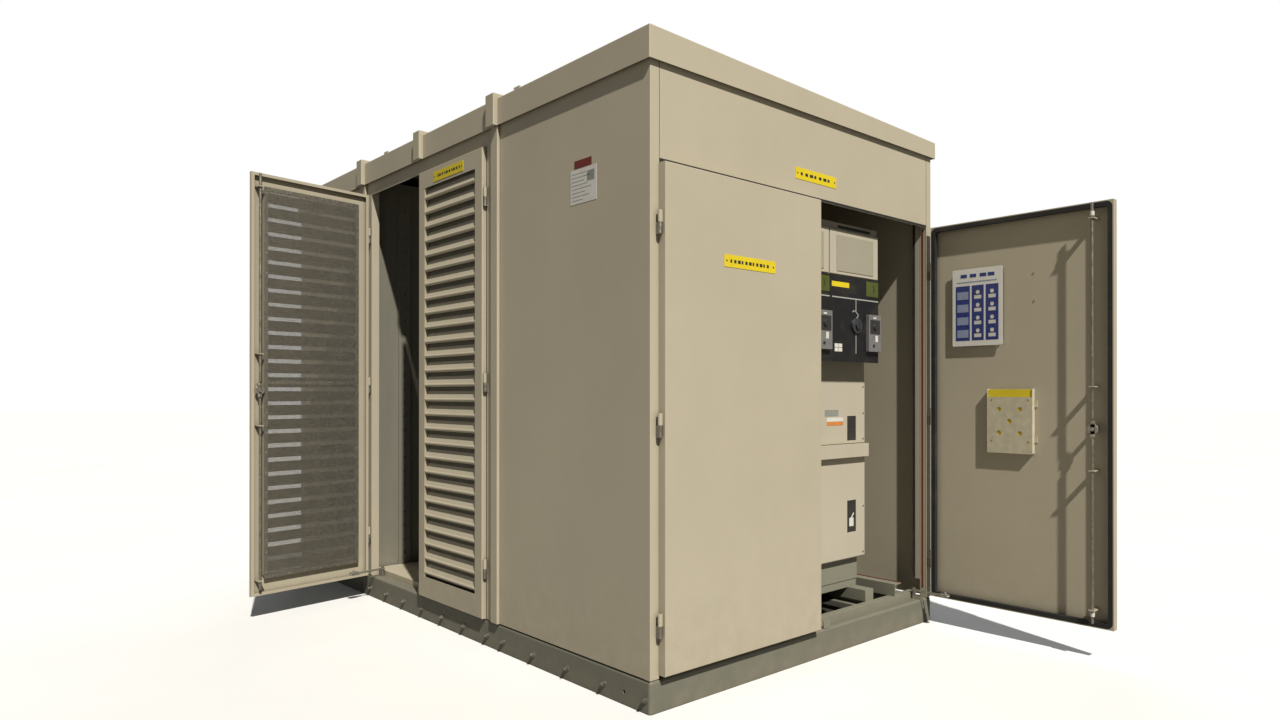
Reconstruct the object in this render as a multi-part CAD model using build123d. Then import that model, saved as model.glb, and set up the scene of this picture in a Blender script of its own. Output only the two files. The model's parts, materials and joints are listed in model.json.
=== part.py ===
from build123d import *
from dataclasses import dataclass
import os

# Walk-round kiosk substation: a high-voltage switchgear room at the +X end, a transformer room in
# the middle and a low-voltage room at the -X end, under one three-piece roof on a channel base.
# Millimetres. Origin: centre of the base's underside. +X: high-voltage end. -Y: long front with the
# louvred transformer doors. +Z: up. Doors are built closed in a face's own frame and then swung.

# ---------------------------------------------------------------- driving dimensions
LENGTH = 3380
WIDTH = 1730
HEIGHT = 2300           # top of the roof sheet along the front; the joint caps stand above it
ROOF_FALL = 37          # the roof drains to the rear
ROOF_OVERHANG = 16
FASCIA_BOTTOM = 2188
SHEET = 2.5
ROOF_SHEET = 3
JOINT_X = 690           # the two joints between the three rooms, either side of the middle

BASE_HEIGHT = 112
BASE_FLANGE = 50
BASE_WALL = 6
BASE_BEND = 12
FLOOR_TOP = 140
PANEL_BOTTOM = 116
CORNER_RETURN = 39      # the side panels fold round the corners by this much

HALF_L = LENGTH / 2
HALF_W = WIDTH / 2
FRAME_TOP = 2226
POST = 35

END_LEAF_EDGE = 828     # hinge-side edge of an end door, from the middle of its face
END_LEAF_BOTTOM = 128
END_LEAF_TOP = 1850
END_LEAF_DEPTH = 34
LOUVRE_LEAF_EDGE = 604
LOUVRE_LEAF_BOTTOM = 117
LOUVRE_LEAF_TOP = 2121
LOUVRE_LEAF_DEPTH = 20
LEAF_INNER_EDGE = 2     # half the gap between two leaves
FACE_GAP = 1            # air between a closed leaf and the wall
LEAF_LIP = 14

HINGE_OFFSET = 9        # hinge axis beyond the leaf's edge
HINGE_KNUCKLE_R = 8
HINGE_PIN_R = 3
HINGE_PIN_CLEARANCE = 0.05
HINGE_HALF = 40
END_HINGE_HEIGHTS = (297, 967, 1647)
LOUVRE_HINGE_HEIGHTS = (330, 1120, 1910)

WINDOW_MARGIN = 61      # leaf edge to louvre window
WINDOW_BOTTOM = 213
WINDOW_TOP = 2040
SLAT_COUNT = 27
SLAT_PITCH = (WINDOW_TOP - WINDOW_BOTTOM) / SLAT_COUNT

ROD_R = 6
ROD_DEPTH = 14          # locking rods run this far behind the wall's outer face
CRANK_DEPTH = 5.5       # clear of the mesh's clamping strips
ROD_LOW_END = 146
ROD_GUIDE_CLEARANCE = 0.4
SPINDLE_R = 9

STAY_LENGTH = 200
STAY_WIRE = 6
STAY_PIN_R = 5
STAY_INSET = 60         # stay pivot inward from the hinge axis
STAY_DEPTH = 38         # stay pivot behind the wall's outer face
STAY_HEIGHT = 148

ANCHOR_X = 1450
ANCHOR_Y = 840
ANCHOR_HOLE_R = 11
SPARE_HOLE_X = 1550
SPARE_HOLE_R = 7
BASE_BOLT_HEIGHT = 46

# room equipment
SWITCHGEAR_HALF = 545   # half the switchgear's width
SWITCHGEAR_BACK = 900
SWITCHGEAR_FRONT = 1538
MECHANISM_FRONT = 1608
BAY_EDGES = (-545, -190, 190, 545)
TANK_HALF_X = 480
TANK_HALF_Y = 230
TANK_BOTTOM = 200
TANK_TOP = 1230
BOARD_X = -1180         # front face of the low-voltage board's plate
FUSE_YS = (20, 220)
FUSE_HINGE_X = BOARD_X - 66.5
FUSE_HINGE_Z = 844

FACE_TURN = {"hv": 90, "front": 0, "lv": -90, "rear": 180}
FACE_SHIFT = {"hv": (HALF_L, 0), "front": (0, -HALF_W), "lv": (-HALF_L, 0), "rear": (0, HALF_W)}


# ---------------------------------------------------------------- small helpers
def block(x0, x1, y0, y1, z0, z1):
    """A box given by its faces."""
    centre = Pos((x0 + x1) / 2, (y0 + y1) / 2, (z0 + z1) / 2)
    return centre * Box(abs(x1 - x0), abs(y1 - y0), abs(z1 - z0))


def rod(start, direction, radius, length):
    """A round bar from start along direction."""
    return Solid.make_cylinder(radius, length, Plane(origin=start, z_dir=direction))


def slab(x0, x1, y0, y1, z0, z1, radius):
    """A box with its four vertical corners rounded."""
    body = block(x0, x1, y0, y1, z0, z1)
    return fillet(body.edges().filter_by(Axis.Z), radius)


def on_face(shape, face):
    """Move a shape from a face's own frame (x right, y inward, z up) to the kiosk's frame."""
    x, y = FACE_SHIFT[face]
    return Pos(x, y, 0) * Rot(0, 0, FACE_TURN[face]) * shape


def both_sides(solids):
    """The solids and their mirror images across the middle of the width."""
    return [*solids, *(mirror(solid, Plane.XZ) for solid in solids)]


def both_ends(solids):
    """The solids and their mirror images across the middle of the length."""
    return [*solids, *(mirror(solid, Plane.YZ) for solid in solids)]


def flat_plate(x0, x1, z0, z1, y0, y1, radius):
    """A plate that faces -y, with rounded corners."""
    plane = Plane(origin=((x0 + x1) / 2, y1, (z0 + z1) / 2), x_dir=(1, 0, 0), z_dir=(0, -1, 0))
    return extrude(plane * RectangleRounded(x1 - x0, z1 - z0, radius), y1 - y0)


# ---------------------------------------------------------------- doors
@dataclass(frozen=True)
class Door:
    face: str
    side: int            # -1 hinged at the left of its face, +1 at the right
    edge: float
    bottom: float
    top: float
    depth: float
    hinge_heights: tuple
    rest_opening: float  # degrees open at rest

    @property
    def axis_x(self):
        return self.edge + HINGE_OFFSET

    @property
    def axis_y(self):
        return -FACE_GAP - self.depth / 2

    @property
    def front(self):
        return -FACE_GAP - self.depth

    @property
    def lock_x(self):
        return LEAF_INNER_EDGE + (78 if self.face in ("hv", "lv") else 34)

    @property
    def lock_z(self):
        return 930 if self.face in ("hv", "lv") else 1090


def end_door(face, side, rest_opening):
    return Door(face, side, END_LEAF_EDGE, END_LEAF_BOTTOM, END_LEAF_TOP, END_LEAF_DEPTH,
                END_HINGE_HEIGHTS, rest_opening)


def louvre_door(face, side, rest_opening):
    return Door(face, side, LOUVRE_LEAF_EDGE, LOUVRE_LEAF_BOTTOM, LOUVRE_LEAF_TOP,
                LOUVRE_LEAF_DEPTH, LOUVRE_HINGE_HEIGHTS, rest_opening)


DOORS = {
    "hv_left": end_door("hv", -1, 0),
    "hv_right": end_door("hv", 1, 90),
    "tx_left": louvre_door("front", -1, 80),
    "tx_right": louvre_door("front", 1, 0),
    "lv_left": end_door("lv", -1, 0),
    "lv_right": end_door("lv", 1, 0),
}


def hand(shape, door):
    """Mirror a right-hinged shape for a left-hinged leaf."""
    return shape if door.side > 0 else mirror(shape, Plane.YZ)


def place_fixed(shape, door):
    """Put a right-hinged, closed shape on the wall beside its door."""
    return on_face(hand(shape, door), door.face)


def place_on_leaf(shape, door):
    """Put a right-hinged, closed shape on its leaf at the leaf's rest opening."""
    axis = Pos(door.side * door.axis_x, door.axis_y, 0)
    swing = axis * Rot(0, 0, door.side * door.rest_opening) * axis.inverse()
    return on_face(swing * hand(shape, door), door.face)


def place_stay(shape, door):
    """Put a right-hinged, closed stay at the rest opening of its own pivot."""
    pivot = Pos(door.side * (door.axis_x - STAY_INSET), STAY_DEPTH, 0)
    swing = pivot * Rot(0, 0, door.side * door.rest_opening) * pivot.inverse()
    return on_face(swing * hand(shape, door), door.face)


def leaf_shell(door):
    """Folded sheet leaf: outer skin, four walls and a lip turned in behind."""
    back = -FACE_GAP
    inner = LEAF_INNER_EDGE
    shell = block(inner, door.edge, door.front, back, door.bottom, door.top)
    front_edges = shell.faces().sort_by(Axis.Y)[0].edges()
    shell = fillet(front_edges, 3)
    shell -= block(inner + SHEET, door.edge - SHEET, door.front + SHEET, back - SHEET,
                   door.bottom + SHEET, door.top - SHEET)
    shell -= block(inner + LEAF_LIP, door.edge - LEAF_LIP, back - SHEET - 1, back + 1,
                   door.bottom + LEAF_LIP, door.top - LEAF_LIP)
    return shell


def leaf_knuckles(door):
    """Upper hinge knuckles with their straps, bored to run on the fixed pins."""
    knuckles = None
    for height in door.hinge_heights:
        low = height + 0.5
        knuckle = rod((door.axis_x, door.axis_y, low), (0, 0, 1), HINGE_KNUCKLE_R, HINGE_HALF)
        knuckle = block(door.edge - 1, door.axis_x, door.axis_y - 4, door.axis_y + 4,
                        low, low + HINGE_HALF) + knuckle
        knuckle -= rod((door.axis_x, door.axis_y, low - 1), (0, 0, 1),
                       HINGE_PIN_R + HINGE_PIN_CLEARANCE, HINGE_HALF + 2)
        knuckles = knuckle if knuckles is None else knuckles + knuckle
    return knuckles


def fixed_hinges(door):
    """Lower knuckles on the wall, each with its pin."""
    solids = []
    for height in door.hinge_heights:
        low = height - HINGE_HALF
        knuckle = rod((door.axis_x, door.axis_y, low), (0, 0, 1), HINGE_KNUCKLE_R, HINGE_HALF)
        pin = rod((door.axis_x, door.axis_y, low), (0, 0, 1), HINGE_PIN_R, 2 * HINGE_HALF - 4)
        strap = block(door.axis_x - 4, door.axis_x + 4, door.axis_y, 0, low, height)
        solids.append(place_fixed(knuckle + pin + strap, door))
    return solids


def rod_guides(door):
    """Drilled brackets that carry the locking rods behind the leaf."""
    guides = None
    middle = door.lock_z
    for z in (door.bottom + 70, middle - 170, middle + 170, door.top - 70):
        bracket = block(door.lock_x - 12, door.lock_x + 12, door.front + SHEET - 0.5,
                        ROD_DEPTH + ROD_R + 6, z, z + 4)
        bracket -= rod((door.lock_x, ROD_DEPTH, z - 1), (0, 0, 1), ROD_R + ROD_GUIDE_CLEARANCE, 6)
        guides = bracket if guides is None else guides + bracket
    return guides


def spindle_hole(door):
    return rod((door.lock_x, door.front - 1, door.lock_z), (0, 1, 0), SPINDLE_R + 0.4,
               door.depth + 2)


def plain_leaf(door, locked):
    """Flat end door leaf, with rod guides on the leaf that locks."""
    leaf = leaf_shell(door) + leaf_knuckles(door)
    if locked:
        leaf = leaf + rod_guides(door)
        leaf -= spindle_hole(door)
    return [place_on_leaf(leaf, door)]


def leaf_gasket(door):
    """Soft seal clipped over the leaf's lip, its thin flange covering the lip's rear face."""
    inset = LEAF_LIP + 0.5
    width = 9
    front, back = door.front + SHEET + 12, -0.3
    x0, x1 = LEAF_INNER_EDGE + inset, door.edge - inset
    z0, z1 = door.bottom + inset, door.top - inset
    seal = flat_plate(x0, x1, z0, z1, front, back, 24)
    seal -= flat_plate(x0 + width, x1 - width, z0 + width, z1 - width, front - 1, back + 1, 15)
    reach = LEAF_LIP - 4
    flange = flat_plate(x0 - reach, x1 + reach, z0 - reach, z1 + reach, -FACE_GAP + 0.05, back, 24)
    flange -= flat_plate(x0 + 1, x1 - 1, z0 + 1, z1 - 1, -FACE_GAP, back + 1, 23)
    return [place_on_leaf(seal + flange, door)]


def slat(x0, x1, z, front):
    """One louvre blade: a rolled nose at the bottom and a blade that rises inward."""
    nose_r = 8.5
    outline = Plane.YZ * Polygon(
        (front + 8, z + 8), (front + 20, z + 50), (front + 17.5, z + 51), (front + 3, z + 14),
        align=None)
    blade = Pos(x0, 0, 0) * extrude(outline, x1 - x0)
    nose = rod((x0, front + nose_r, z + nose_r + 2), (1, 0, 0), nose_r, x1 - x0)
    return blade + nose


def slats(x0, x1, front):
    return [slat(x0, x1, WINDOW_BOTTOM + 10 + k * SLAT_PITCH, front) for k in range(SLAT_COUNT)]


def window_cutter(x0, x1, front):
    return block(x0, x1, front - 1, FACE_GAP + 1, WINDOW_BOTTOM, WINDOW_TOP)


def louvre_leaf(door, locked):
    """Louvred transformer door: folded frame with its blades as separate solids."""
    x0 = LEAF_INNER_EDGE + WINDOW_MARGIN
    x1 = door.edge - WINDOW_MARGIN
    leaf = leaf_shell(door)
    leaf -= window_cutter(x0, x1, door.front)
    leaf = leaf + leaf_knuckles(door)
    for x in (x0 - 3, x1):
        leaf += block(x, x + 3, door.front + SHEET - 0.5, -FACE_GAP, WINDOW_BOTTOM - 3, WINDOW_TOP + 3)
    if locked:
        leaf = leaf + rod_guides(door)
        leaf -= spindle_hole(door)
    blades = slats(x0 + 0.5, x1 - 0.5, door.front + 0.5)
    return [place_on_leaf(solid, door) for solid in (leaf, *blades)]


def vermin_mesh(door):
    """Mesh panel behind the blades, with its clamping strips round the edge and across."""
    x0 = LEAF_INNER_EDGE + WINDOW_MARGIN - 3
    x1 = door.edge - WINDOW_MARGIN + 3
    z0, z1 = WINDOW_BOTTOM - 20, WINDOW_TOP + 20
    y0 = 1
    strip = 18
    middle = (z0 + z1) / 2
    solids = [block(x0, x1, y0, y0 + 1.2, z0, z1)]
    for low, high in ((z0, z0 + strip), (middle - strip / 2, middle + strip / 2), (z1 - strip, z1)):
        solids.append(block(x0 + strip, x1 - strip, y0 + 1.2, y0 + 3.2, low, high))
    for left in (x0, x1 - strip):
        solids.append(block(left, left + strip, y0 + 1.2, y0 + 3.2, z0, z1))
    for left in (x0, x1 - 3):
        solids.append(block(left, left + 3, -FACE_GAP, y0, WINDOW_BOTTOM, WINDOW_TOP))
    return [place_on_leaf(solid, door) for solid in solids]


def lock_handle(door):
    """Swing handle outside, spindle through the leaf and rod crank inside."""
    x, z, front = door.lock_x, door.lock_z, door.front
    hub = rod((x, front - 16, z), (0, 1, 0), 22, 15.5)
    spindle = rod((x, front - 2, z), (0, 1, 0), SPINDLE_R, CRANK_DEPTH + 3 - front)
    grip = slab(x - 11, x + 11, front - 28, front - 14, z - 150, z + 11, 5)
    crank = rod((x, CRANK_DEPTH, z), (0, 1, 0), 20, 6)
    crank += block(x - 8, x + 8, CRANK_DEPTH, CRANK_DEPTH + 6, z - 34, z + 34)
    return [place_on_leaf(hub + spindle + grip + crank, door)]


def locking_rod(door, up):
    """Upper or lower rod of the three-point lock, drawn back from its keeper."""
    if up:
        low, high = door.lock_z + 40, door.top - 4
    else:
        low, high = ROD_LOW_END, door.lock_z - 40
    bar = rod((door.lock_x, ROD_DEPTH, low), (0, 0, 1), ROD_R, high - low)
    return [place_on_leaf(chamfer(bar.edges().filter_by(GeomType.CIRCLE), 1.5), door)]


def latch_lever(door):
    """Inside lever that frees the leaf which closes first."""
    x, z = door.lock_x - 6, door.lock_z - 90
    arm = block(x - 9, x + 9, 5, 11, z - 10, z + 90)
    boss = rod((x, 5, z), (0, 1, 0), 14, 9)
    pin = rod((x, -FACE_GAP, z), (0, 1, 0), 6, 6 + FACE_GAP)
    return [place_on_leaf(arm + boss + pin, door)]


def door_stay(door):
    """Wire loop that holds the leaf open; its near end turns on the pin at the sill."""
    x = door.axis_x - STAY_INSET
    inner = 2 * STAY_PIN_R + 2
    outer = inner + 2 * STAY_WIRE
    plane = Plane.XY.offset(STAY_HEIGHT)
    centre = (x - STAY_LENGTH / 2 + outer / 2, STAY_DEPTH)
    loop = extrude(plane * Pos(*centre) * SlotOverall(STAY_LENGTH, outer), STAY_WIRE)
    loop -= extrude(plane * Pos(*centre) * SlotOverall(STAY_LENGTH - 2 * STAY_WIRE, inner), STAY_WIRE)
    loop = fillet(loop.edges().filter_by(Axis.Z, reverse=True), 2.4)
    return [place_stay(loop, door)]


def stay_pivot(door):
    """Stud on the base flange that the stay turns on."""
    x = door.axis_x - STAY_INSET
    boss = rod((x, STAY_DEPTH, BASE_HEIGHT), (0, 0, 1), 8, STAY_HEIGHT - 2 - BASE_HEIGHT)
    pin = rod((x, STAY_DEPTH, BASE_HEIGHT), (0, 0, 1), STAY_PIN_R, STAY_HEIGHT + 12 - BASE_HEIGHT)
    cap = rod((x, STAY_DEPTH, STAY_HEIGHT + 8), (0, 0, 1), 8.5, 5)
    return place_fixed(boss + pin + cap, door)


# ---------------------------------------------------------------- base and frame
def base_frame():
    """Four mitred channel members, webs outward, and four cross beams between their flanges."""
    outer = slab(-HALF_L, HALF_L, -HALF_W, HALF_W, 0, BASE_HEIGHT, BASE_BEND)
    outer = fillet(outer.faces().sort_by(Axis.Z)[-1].edges(), BASE_BEND - 1)
    outer = fillet(outer.faces().sort_by(Axis.Z)[0].edges(), 3)
    inside_x, inside_y = HALF_L - BASE_WALL, HALF_W - BASE_WALL
    ring = outer - block(-inside_x, inside_x, -inside_y, inside_y, BASE_WALL, BASE_HEIGHT - BASE_WALL)
    open_x, open_y = HALF_L - BASE_FLANGE, HALF_W - BASE_FLANGE
    ring -= block(-open_x, open_x, -open_y, open_y, -1, BASE_HEIGHT + 1)
    for x in (-ANCHOR_X, ANCHOR_X):
        for y in (-ANCHOR_Y, ANCHOR_Y):
            ring -= rod((x, y, -1), (0, 0, 1), ANCHOR_HOLE_R, BASE_WALL + 2)
    for x in (-SPARE_HOLE_X, SPARE_HOLE_X):
        ring -= rod((x, -HALF_W - 1, BASE_BOLT_HEIGHT), (0, 1, 0), SPARE_HOLE_R, WIDTH + 2)
    reach = 5
    side_cut = Polygon((-HALF_L - reach, -HALF_W - reach), (HALF_L + reach, -HALF_W - reach),
                       (open_x, -open_y), (-open_x, -open_y), align=None)
    end_cut = Polygon((HALF_L + reach, -HALF_W - reach), (HALF_L + reach, HALF_W + reach),
                      (open_x, open_y), (open_x, -open_y), align=None)
    side = ring & extrude(side_cut, BASE_HEIGHT)
    end = ring & extrude(end_cut, BASE_HEIGHT)
    beams = []
    for x in (-JOINT_X, -300, 300, JOINT_X):
        beam = block(x - 30, x + 30, -open_y, open_y, 4, BASE_HEIGHT)
        beams.append(beam - block(x - 25, x + 25, -open_y - 1, open_y + 1, 9, BASE_HEIGHT - 5))
    return [*both_sides([side]), *both_ends([end]), *beams]


def bolt_positions():
    """Where the bolts stand along the front of the base, room by room."""
    end_room = [HALF_L - 24 - 230 * k for k in range(5)]
    middle = [615 - 205 * k for k in range(7)]
    return [*end_room, *middle, *(-x for x in end_room)]


def base_bolts():
    """Hexagon bolts through the base webs with their washers and projecting shanks."""
    bolts = []
    for x in bolt_positions():
        plane = Plane(origin=(x, -HALF_W, BASE_BOLT_HEIGHT), z_dir=(0, -1, 0))
        washer = extrude(plane * Circle(12), 2)
        head = extrude(plane.offset(2) * RegularPolygon(9.5, 6), 8)
        tip = extrude(plane.offset(10) * Circle(5.5), 7)
        bolts.append(washer + head + tip)
    return both_sides(bolts)


def floor_tray(x0, x1):
    """Sheet floor with all four edges folded down to the base."""
    edge = HALF_W - BASE_FLANGE
    tray = block(x0, x1, -edge, edge, BASE_HEIGHT, FLOOR_TOP)
    tray -= block(x0 + 3, x1 - 3, 3 - edge, edge - 3, BASE_HEIGHT - 1, FLOOR_TOP - 3)
    return tray


def floor_plates():
    """Transformer floor, the two equipment floors, the door sills and the rod keepers."""
    solids = [floor_tray(-660, 660)]
    solids += both_ends([floor_tray(700, 1225), floor_tray(1602, HALF_L - BASE_FLANGE)])
    for name, door in DOORS.items():
        if name in LOCKED_DOORS:
            keeper = block(door.lock_x - 20, door.lock_x + 20, 2, 6, BASE_HEIGHT, ROD_LOW_END - 4)
            solids.append(place_fixed(keeper, door))
    return solids


def square_tube(x0, x1, y0, y1, z0, z1):
    """Upright square tube."""
    tube = slab(x0, x1, y0, y1, z0, z1, 4)
    return tube - block(x0 + 3, x1 - 3, y0 + 3, y1 - 3, z0 - 1, z1 + 1)


def perforated_upright(x0, x1, y0, y1):
    """Equipment upright with a row of fixing holes."""
    strut = block(x0, x1, y0, y1, FLOOR_TOP, FRAME_TOP - 46)
    middle = (y0 + y1) / 2
    pitch = 75
    for k in range(26):
        hole = rod((x0 - 1, middle, FLOOR_TOP + 60 + k * pitch), (1, 0, 0), 6, abs(x1 - x0) + 2)
        strut -= hole
    return strut


def frame_posts():
    """Corner posts, transformer door posts, top rails and the perforated uprights."""
    rail_bottom = FRAME_TOP - 40
    corner_x, corner_y = HALF_L - 3, HALF_W - 3
    corner = square_tube(corner_x - POST, corner_x, -corner_y, POST - corner_y,
                         BASE_HEIGHT, rail_bottom)
    jamb = square_tube(LOUVRE_LEAF_EDGE + 4, LOUVRE_LEAF_EDGE + 56, -corner_y, 40 - corner_y,
                       BASE_HEIGHT, rail_bottom)
    posts = both_ends(both_sides([corner, jamb]))
    long_rail = block(-corner_x, corner_x, -corner_y, 40 - corner_y, rail_bottom, FRAME_TOP)
    short_rail = block(corner_x - 40, corner_x, 40 - corner_y, corner_y - 40, rail_bottom, FRAME_TOP)
    uprights = both_sides([perforated_upright(-671, -664, -690, -625)])
    return [*posts, *both_sides([long_rail]), *both_ends([short_rail]), *uprights]


def side_panel():
    """End-room side wall with its fold round the corner."""
    wall = block(JOINT_X + 2, HALF_L, -HALF_W, SHEET - HALF_W, PANEL_BOTTOM, FRAME_TOP)
    fold = block(HALF_L - SHEET, HALF_L, -HALF_W, CORNER_RETURN - HALF_W, PANEL_BOTTOM, FRAME_TOP)
    panel = wall + fold
    corner = panel.edges().filter_by(Axis.Z).sort_by_distance((HALF_L, -HALF_W, FRAME_TOP / 2))[0]
    return fillet(corner, 2.4)


def wall_panels():
    """Side walls, end headers over the doors, and the narrow panels round the louvred fronts."""
    side = side_panel()
    half = HALF_W - CORNER_RETURN - 0.5
    header = block(HALF_L - SHEET, HALF_L, -half, half, END_LEAF_TOP + 6, FRAME_TOP)
    jamb = block(LOUVRE_LEAF_EDGE + 3, JOINT_X + 1.5, -HALF_W, SHEET - HALF_W, PANEL_BOTTOM, FRAME_TOP)
    edge = LOUVRE_LEAF_EDGE + 2.5
    lintel = block(-edge, edge, -HALF_W, SHEET - HALF_W, LOUVRE_LEAF_TOP + 6, FRAME_TOP)
    return [*both_ends(both_sides([side, jamb])), *both_ends([header]), *both_sides([lintel])]


def partitions():
    """Sheet walls between the rooms."""
    edge = HALF_W - BASE_FLANGE
    return both_ends([block(672, 675, -edge, edge, BASE_HEIGHT, FRAME_TOP)])


def joint_strip():
    """Hat-section strip over the joint between two rooms."""
    proud = 14
    x0, x1 = JOINT_X - 27, JOINT_X + 27
    strip = slab(x0, x1, -HALF_W - proud, -HALF_W, PANEL_BOTTOM, FASCIA_BOTTOM - 2, 3)
    return strip - block(x0 + 2.5, x1 - 2.5, 2.5 - HALF_W - proud, 1 - HALF_W,
                         PANEL_BOTTOM - 1, FASCIA_BOTTOM)


# ---------------------------------------------------------------- roof
def roof_profile(offset, low):
    """Roof outline across the width, grown outward from the sheet's outer face by offset."""
    reach = HALF_W + ROOF_OVERHANG + offset
    return Plane.YZ * Polygon((-reach, low), (reach, low), (reach, HEIGHT - ROOF_FALL + offset),
                              (-reach, HEIGHT + offset), align=None)


def roof_sections():
    """Three sheet roofs with turned-down fascias; the middle one is open at both joints."""
    reach = HALF_L + ROOF_OVERHANG
    outer = Pos(JOINT_X, 0, 0) * extrude(roof_profile(0, FASCIA_BOTTOM), reach - JOINT_X)
    top_edges = outer.edges().filter_by(lambda e: e.center().Z > 2200)
    rounded = [e for e in top_edges if abs(e.center().X - JOINT_X) > 1]
    outer = fillet(rounded, 4)
    inner = Pos(JOINT_X - 1, 0, 0) * extrude(
        roof_profile(-ROOF_SHEET, FASCIA_BOTTOM - 1), reach - JOINT_X - ROOF_SHEET + 1)
    end = outer - inner
    middle = Pos(-JOINT_X, 0, 0) * extrude(roof_profile(0, FASCIA_BOTTOM), 2 * JOINT_X)
    middle = fillet(middle.edges().filter_by(Axis.X).sort_by(Axis.Z)[-2:], 4)
    middle -= Pos(-JOINT_X - 1, 0, 0) * extrude(
        roof_profile(-ROOF_SHEET, FASCIA_BOTTOM - 1), 2 * JOINT_X + 2)
    return [*both_ends([end]), middle]


def roof_cap(x):
    """Channel over a roof joint that turns down over both fascias."""
    width = 66
    cap = Pos(x - width / 2, 0, 0) * extrude(roof_profile(20, FASCIA_BOTTOM - 1), width)
    cap = fillet(cap.edges().filter_by(lambda e: e.center().Z > 2240), 4)
    return cap - Pos(x - width / 2 - 1, 0, 0) * extrude(roof_profile(0, FASCIA_BOTTOM - 2), width + 2)


def joint_covers():
    """Wall strips at the room joints and the caps over the roof."""
    strips = both_ends(both_sides([joint_strip()]))
    return [*strips, *(roof_cap(x) for x in (-JOINT_X, 0, JOINT_X))]


LUG_XS = (-480, 810)
LUG_HOLE_R = 9
LUG_HOLE_HEIGHT = 2318


def lifting_lugs():
    """Drilled eye plates on the roof near its long edges."""
    lugs = []
    for x in LUG_XS:
        for side in (-1, 1):
            y = side * 840
            base = HEIGHT - ROOF_FALL / 2 - ROOF_FALL * y / (WIDTH + 2 * ROOF_OVERHANG)
            plate = block(x - 22, x + 22, y - 3, y + 3, base, LUG_HOLE_HEIGHT + 16)
            foot = block(x - 30, x + 30, y - 14, y + 14, base, base + 5)
            eye = rod((x, y - 4, LUG_HOLE_HEIGHT), (0, 1, 0), LUG_HOLE_R, 8)
            lug = (plate + foot) - eye
            lugs.append(lug - roof_solid_below(x))
    return lugs


def roof_solid_below(x):
    """The space under the roof's top face near x, used to seat the lugs on the slope."""
    return Pos(x - 50, 0, 0) * extrude(roof_profile(0, FASCIA_BOTTOM), 100)


# ---------------------------------------------------------------- rear louvre panel
def rear_louvre_panel():
    """Fixed louvred panel that closes the rear of the transformer room."""
    door = louvre_door("rear", 1, 0)
    x1 = LOUVRE_LEAF_EDGE
    front = door.front
    frame = block(-x1, x1, front, -FACE_GAP, LOUVRE_LEAF_BOTTOM, LOUVRE_LEAF_TOP)
    frame = fillet(frame.faces().sort_by(Axis.Y)[0].edges(), 3)
    frame -= block(SHEET - x1, x1 - SHEET, front + SHEET, 0, LOUVRE_LEAF_BOTTOM + SHEET,
                   LOUVRE_LEAF_TOP - SHEET)
    blades = []
    for left, right in ((-x1 + WINDOW_MARGIN, -30), (30, x1 - WINDOW_MARGIN)):
        frame -= window_cutter(left, right, front)
        blades += slats(left + 0.5, right - 0.5, front + 0.5)
        for x in (left - 3, right):
            frame += block(x, x + 3, front + SHEET - 0.5, -FACE_GAP, WINDOW_BOTTOM - 3, WINDOW_TOP + 3)
    screws = []
    for x in (-x1 + 20, x1 - 20):
        for z in (160, 640, 1120, 1600, 2080):
            screws.append(rod((x, front - 3, z), (0, 1, 0), 6, 3))
    return [on_face(solid, "rear") for solid in (frame, *blades, *screws)]


# ---------------------------------------------------------------- high-voltage room
def switchgear_plinth():
    """Open plinth that carries the switchgear over the cable pit, and the cable clamp channel."""
    x0, x1, half = SWITCHGEAR_BACK + 20, SWITCHGEAR_FRONT - 28, SWITCHGEAR_HALF - 20
    top = 330
    walls = [block(x1 - 4, x1, -half, half, 225, top), block(x0, x0 + 4, -half, half, FLOOR_TOP, top)]
    walls += both_sides([block(x0 + 4, x1 - 4, -half, 4 - half, 190, top)])
    walls.append(block(x1 - 34, x1 - 4, 6 - half, half - 6, 190, 225))
    walls += both_sides([block(x0 + 4, 1602, -half, 60 - half, FLOOR_TOP, 190)])
    y0, y1, z0, z1 = 640, 690, FLOOR_TOP, 196
    channel = block(1140, 1640, y0, y1, z0, z1)
    channel -= block(1139, 1641, y0 + 4, y1 + 1, z0 + 4, z1 - 4)
    return [*walls, channel]


def sheet_box(x0, x1, z0, z1):
    """Closed sheet enclosure as wide as the switchgear."""
    half = SWITCHGEAR_HALF
    box = slab(x0, x1, -half, half, z0, z1, 3)
    return box - block(x0 + 3, x1 - 3, 3 - half, half - 3, z0 + 3, z1 - 3)


def switchgear_body():
    """Cable box with the mechanism housing on it, which stands proud of the cable box."""
    return [sheet_box(SWITCHGEAR_BACK, SWITCHGEAR_FRONT, 330, 1235),
            sheet_box(SWITCHGEAR_BACK, MECHANISM_FRONT, 1235, 1812)]


def cable_covers():
    """Bolted covers, one pair for each bay, with inspection slots and a ledge between them."""
    solids = []
    for left, right in zip(BAY_EDGES, BAY_EDGES[1:]):
        y0, y1 = left + 2, right - 2
        slot = y1 - 131
        x0, x1 = SWITCHGEAR_FRONT, SWITCHGEAR_FRONT + 3
        upper = block(x0, x1, y0, y1, 850, 1122)
        upper -= block(x0 - 1, x1 + 1, slot, slot + 66, 862, 973)
        lower = block(x0, x1, y0, y1, 334, 786)
        lower -= block(x0 - 1, x1 + 1, slot, slot + 66, 448, 592)
        ledge = slab(x0, x0 + 30, y0, y1, 789, 847, 6)
        solids += [upper, lower, ledge]
    return solids


def mimic_panel():
    """Black panel that carries the circuit diagram and the operating positions."""
    reach = SWITCHGEAR_HALF + 6
    return [slab(MECHANISM_FRONT, MECHANISM_FRONT + 4, -reach, reach, 1212, 1584, 1.5)]


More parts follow.
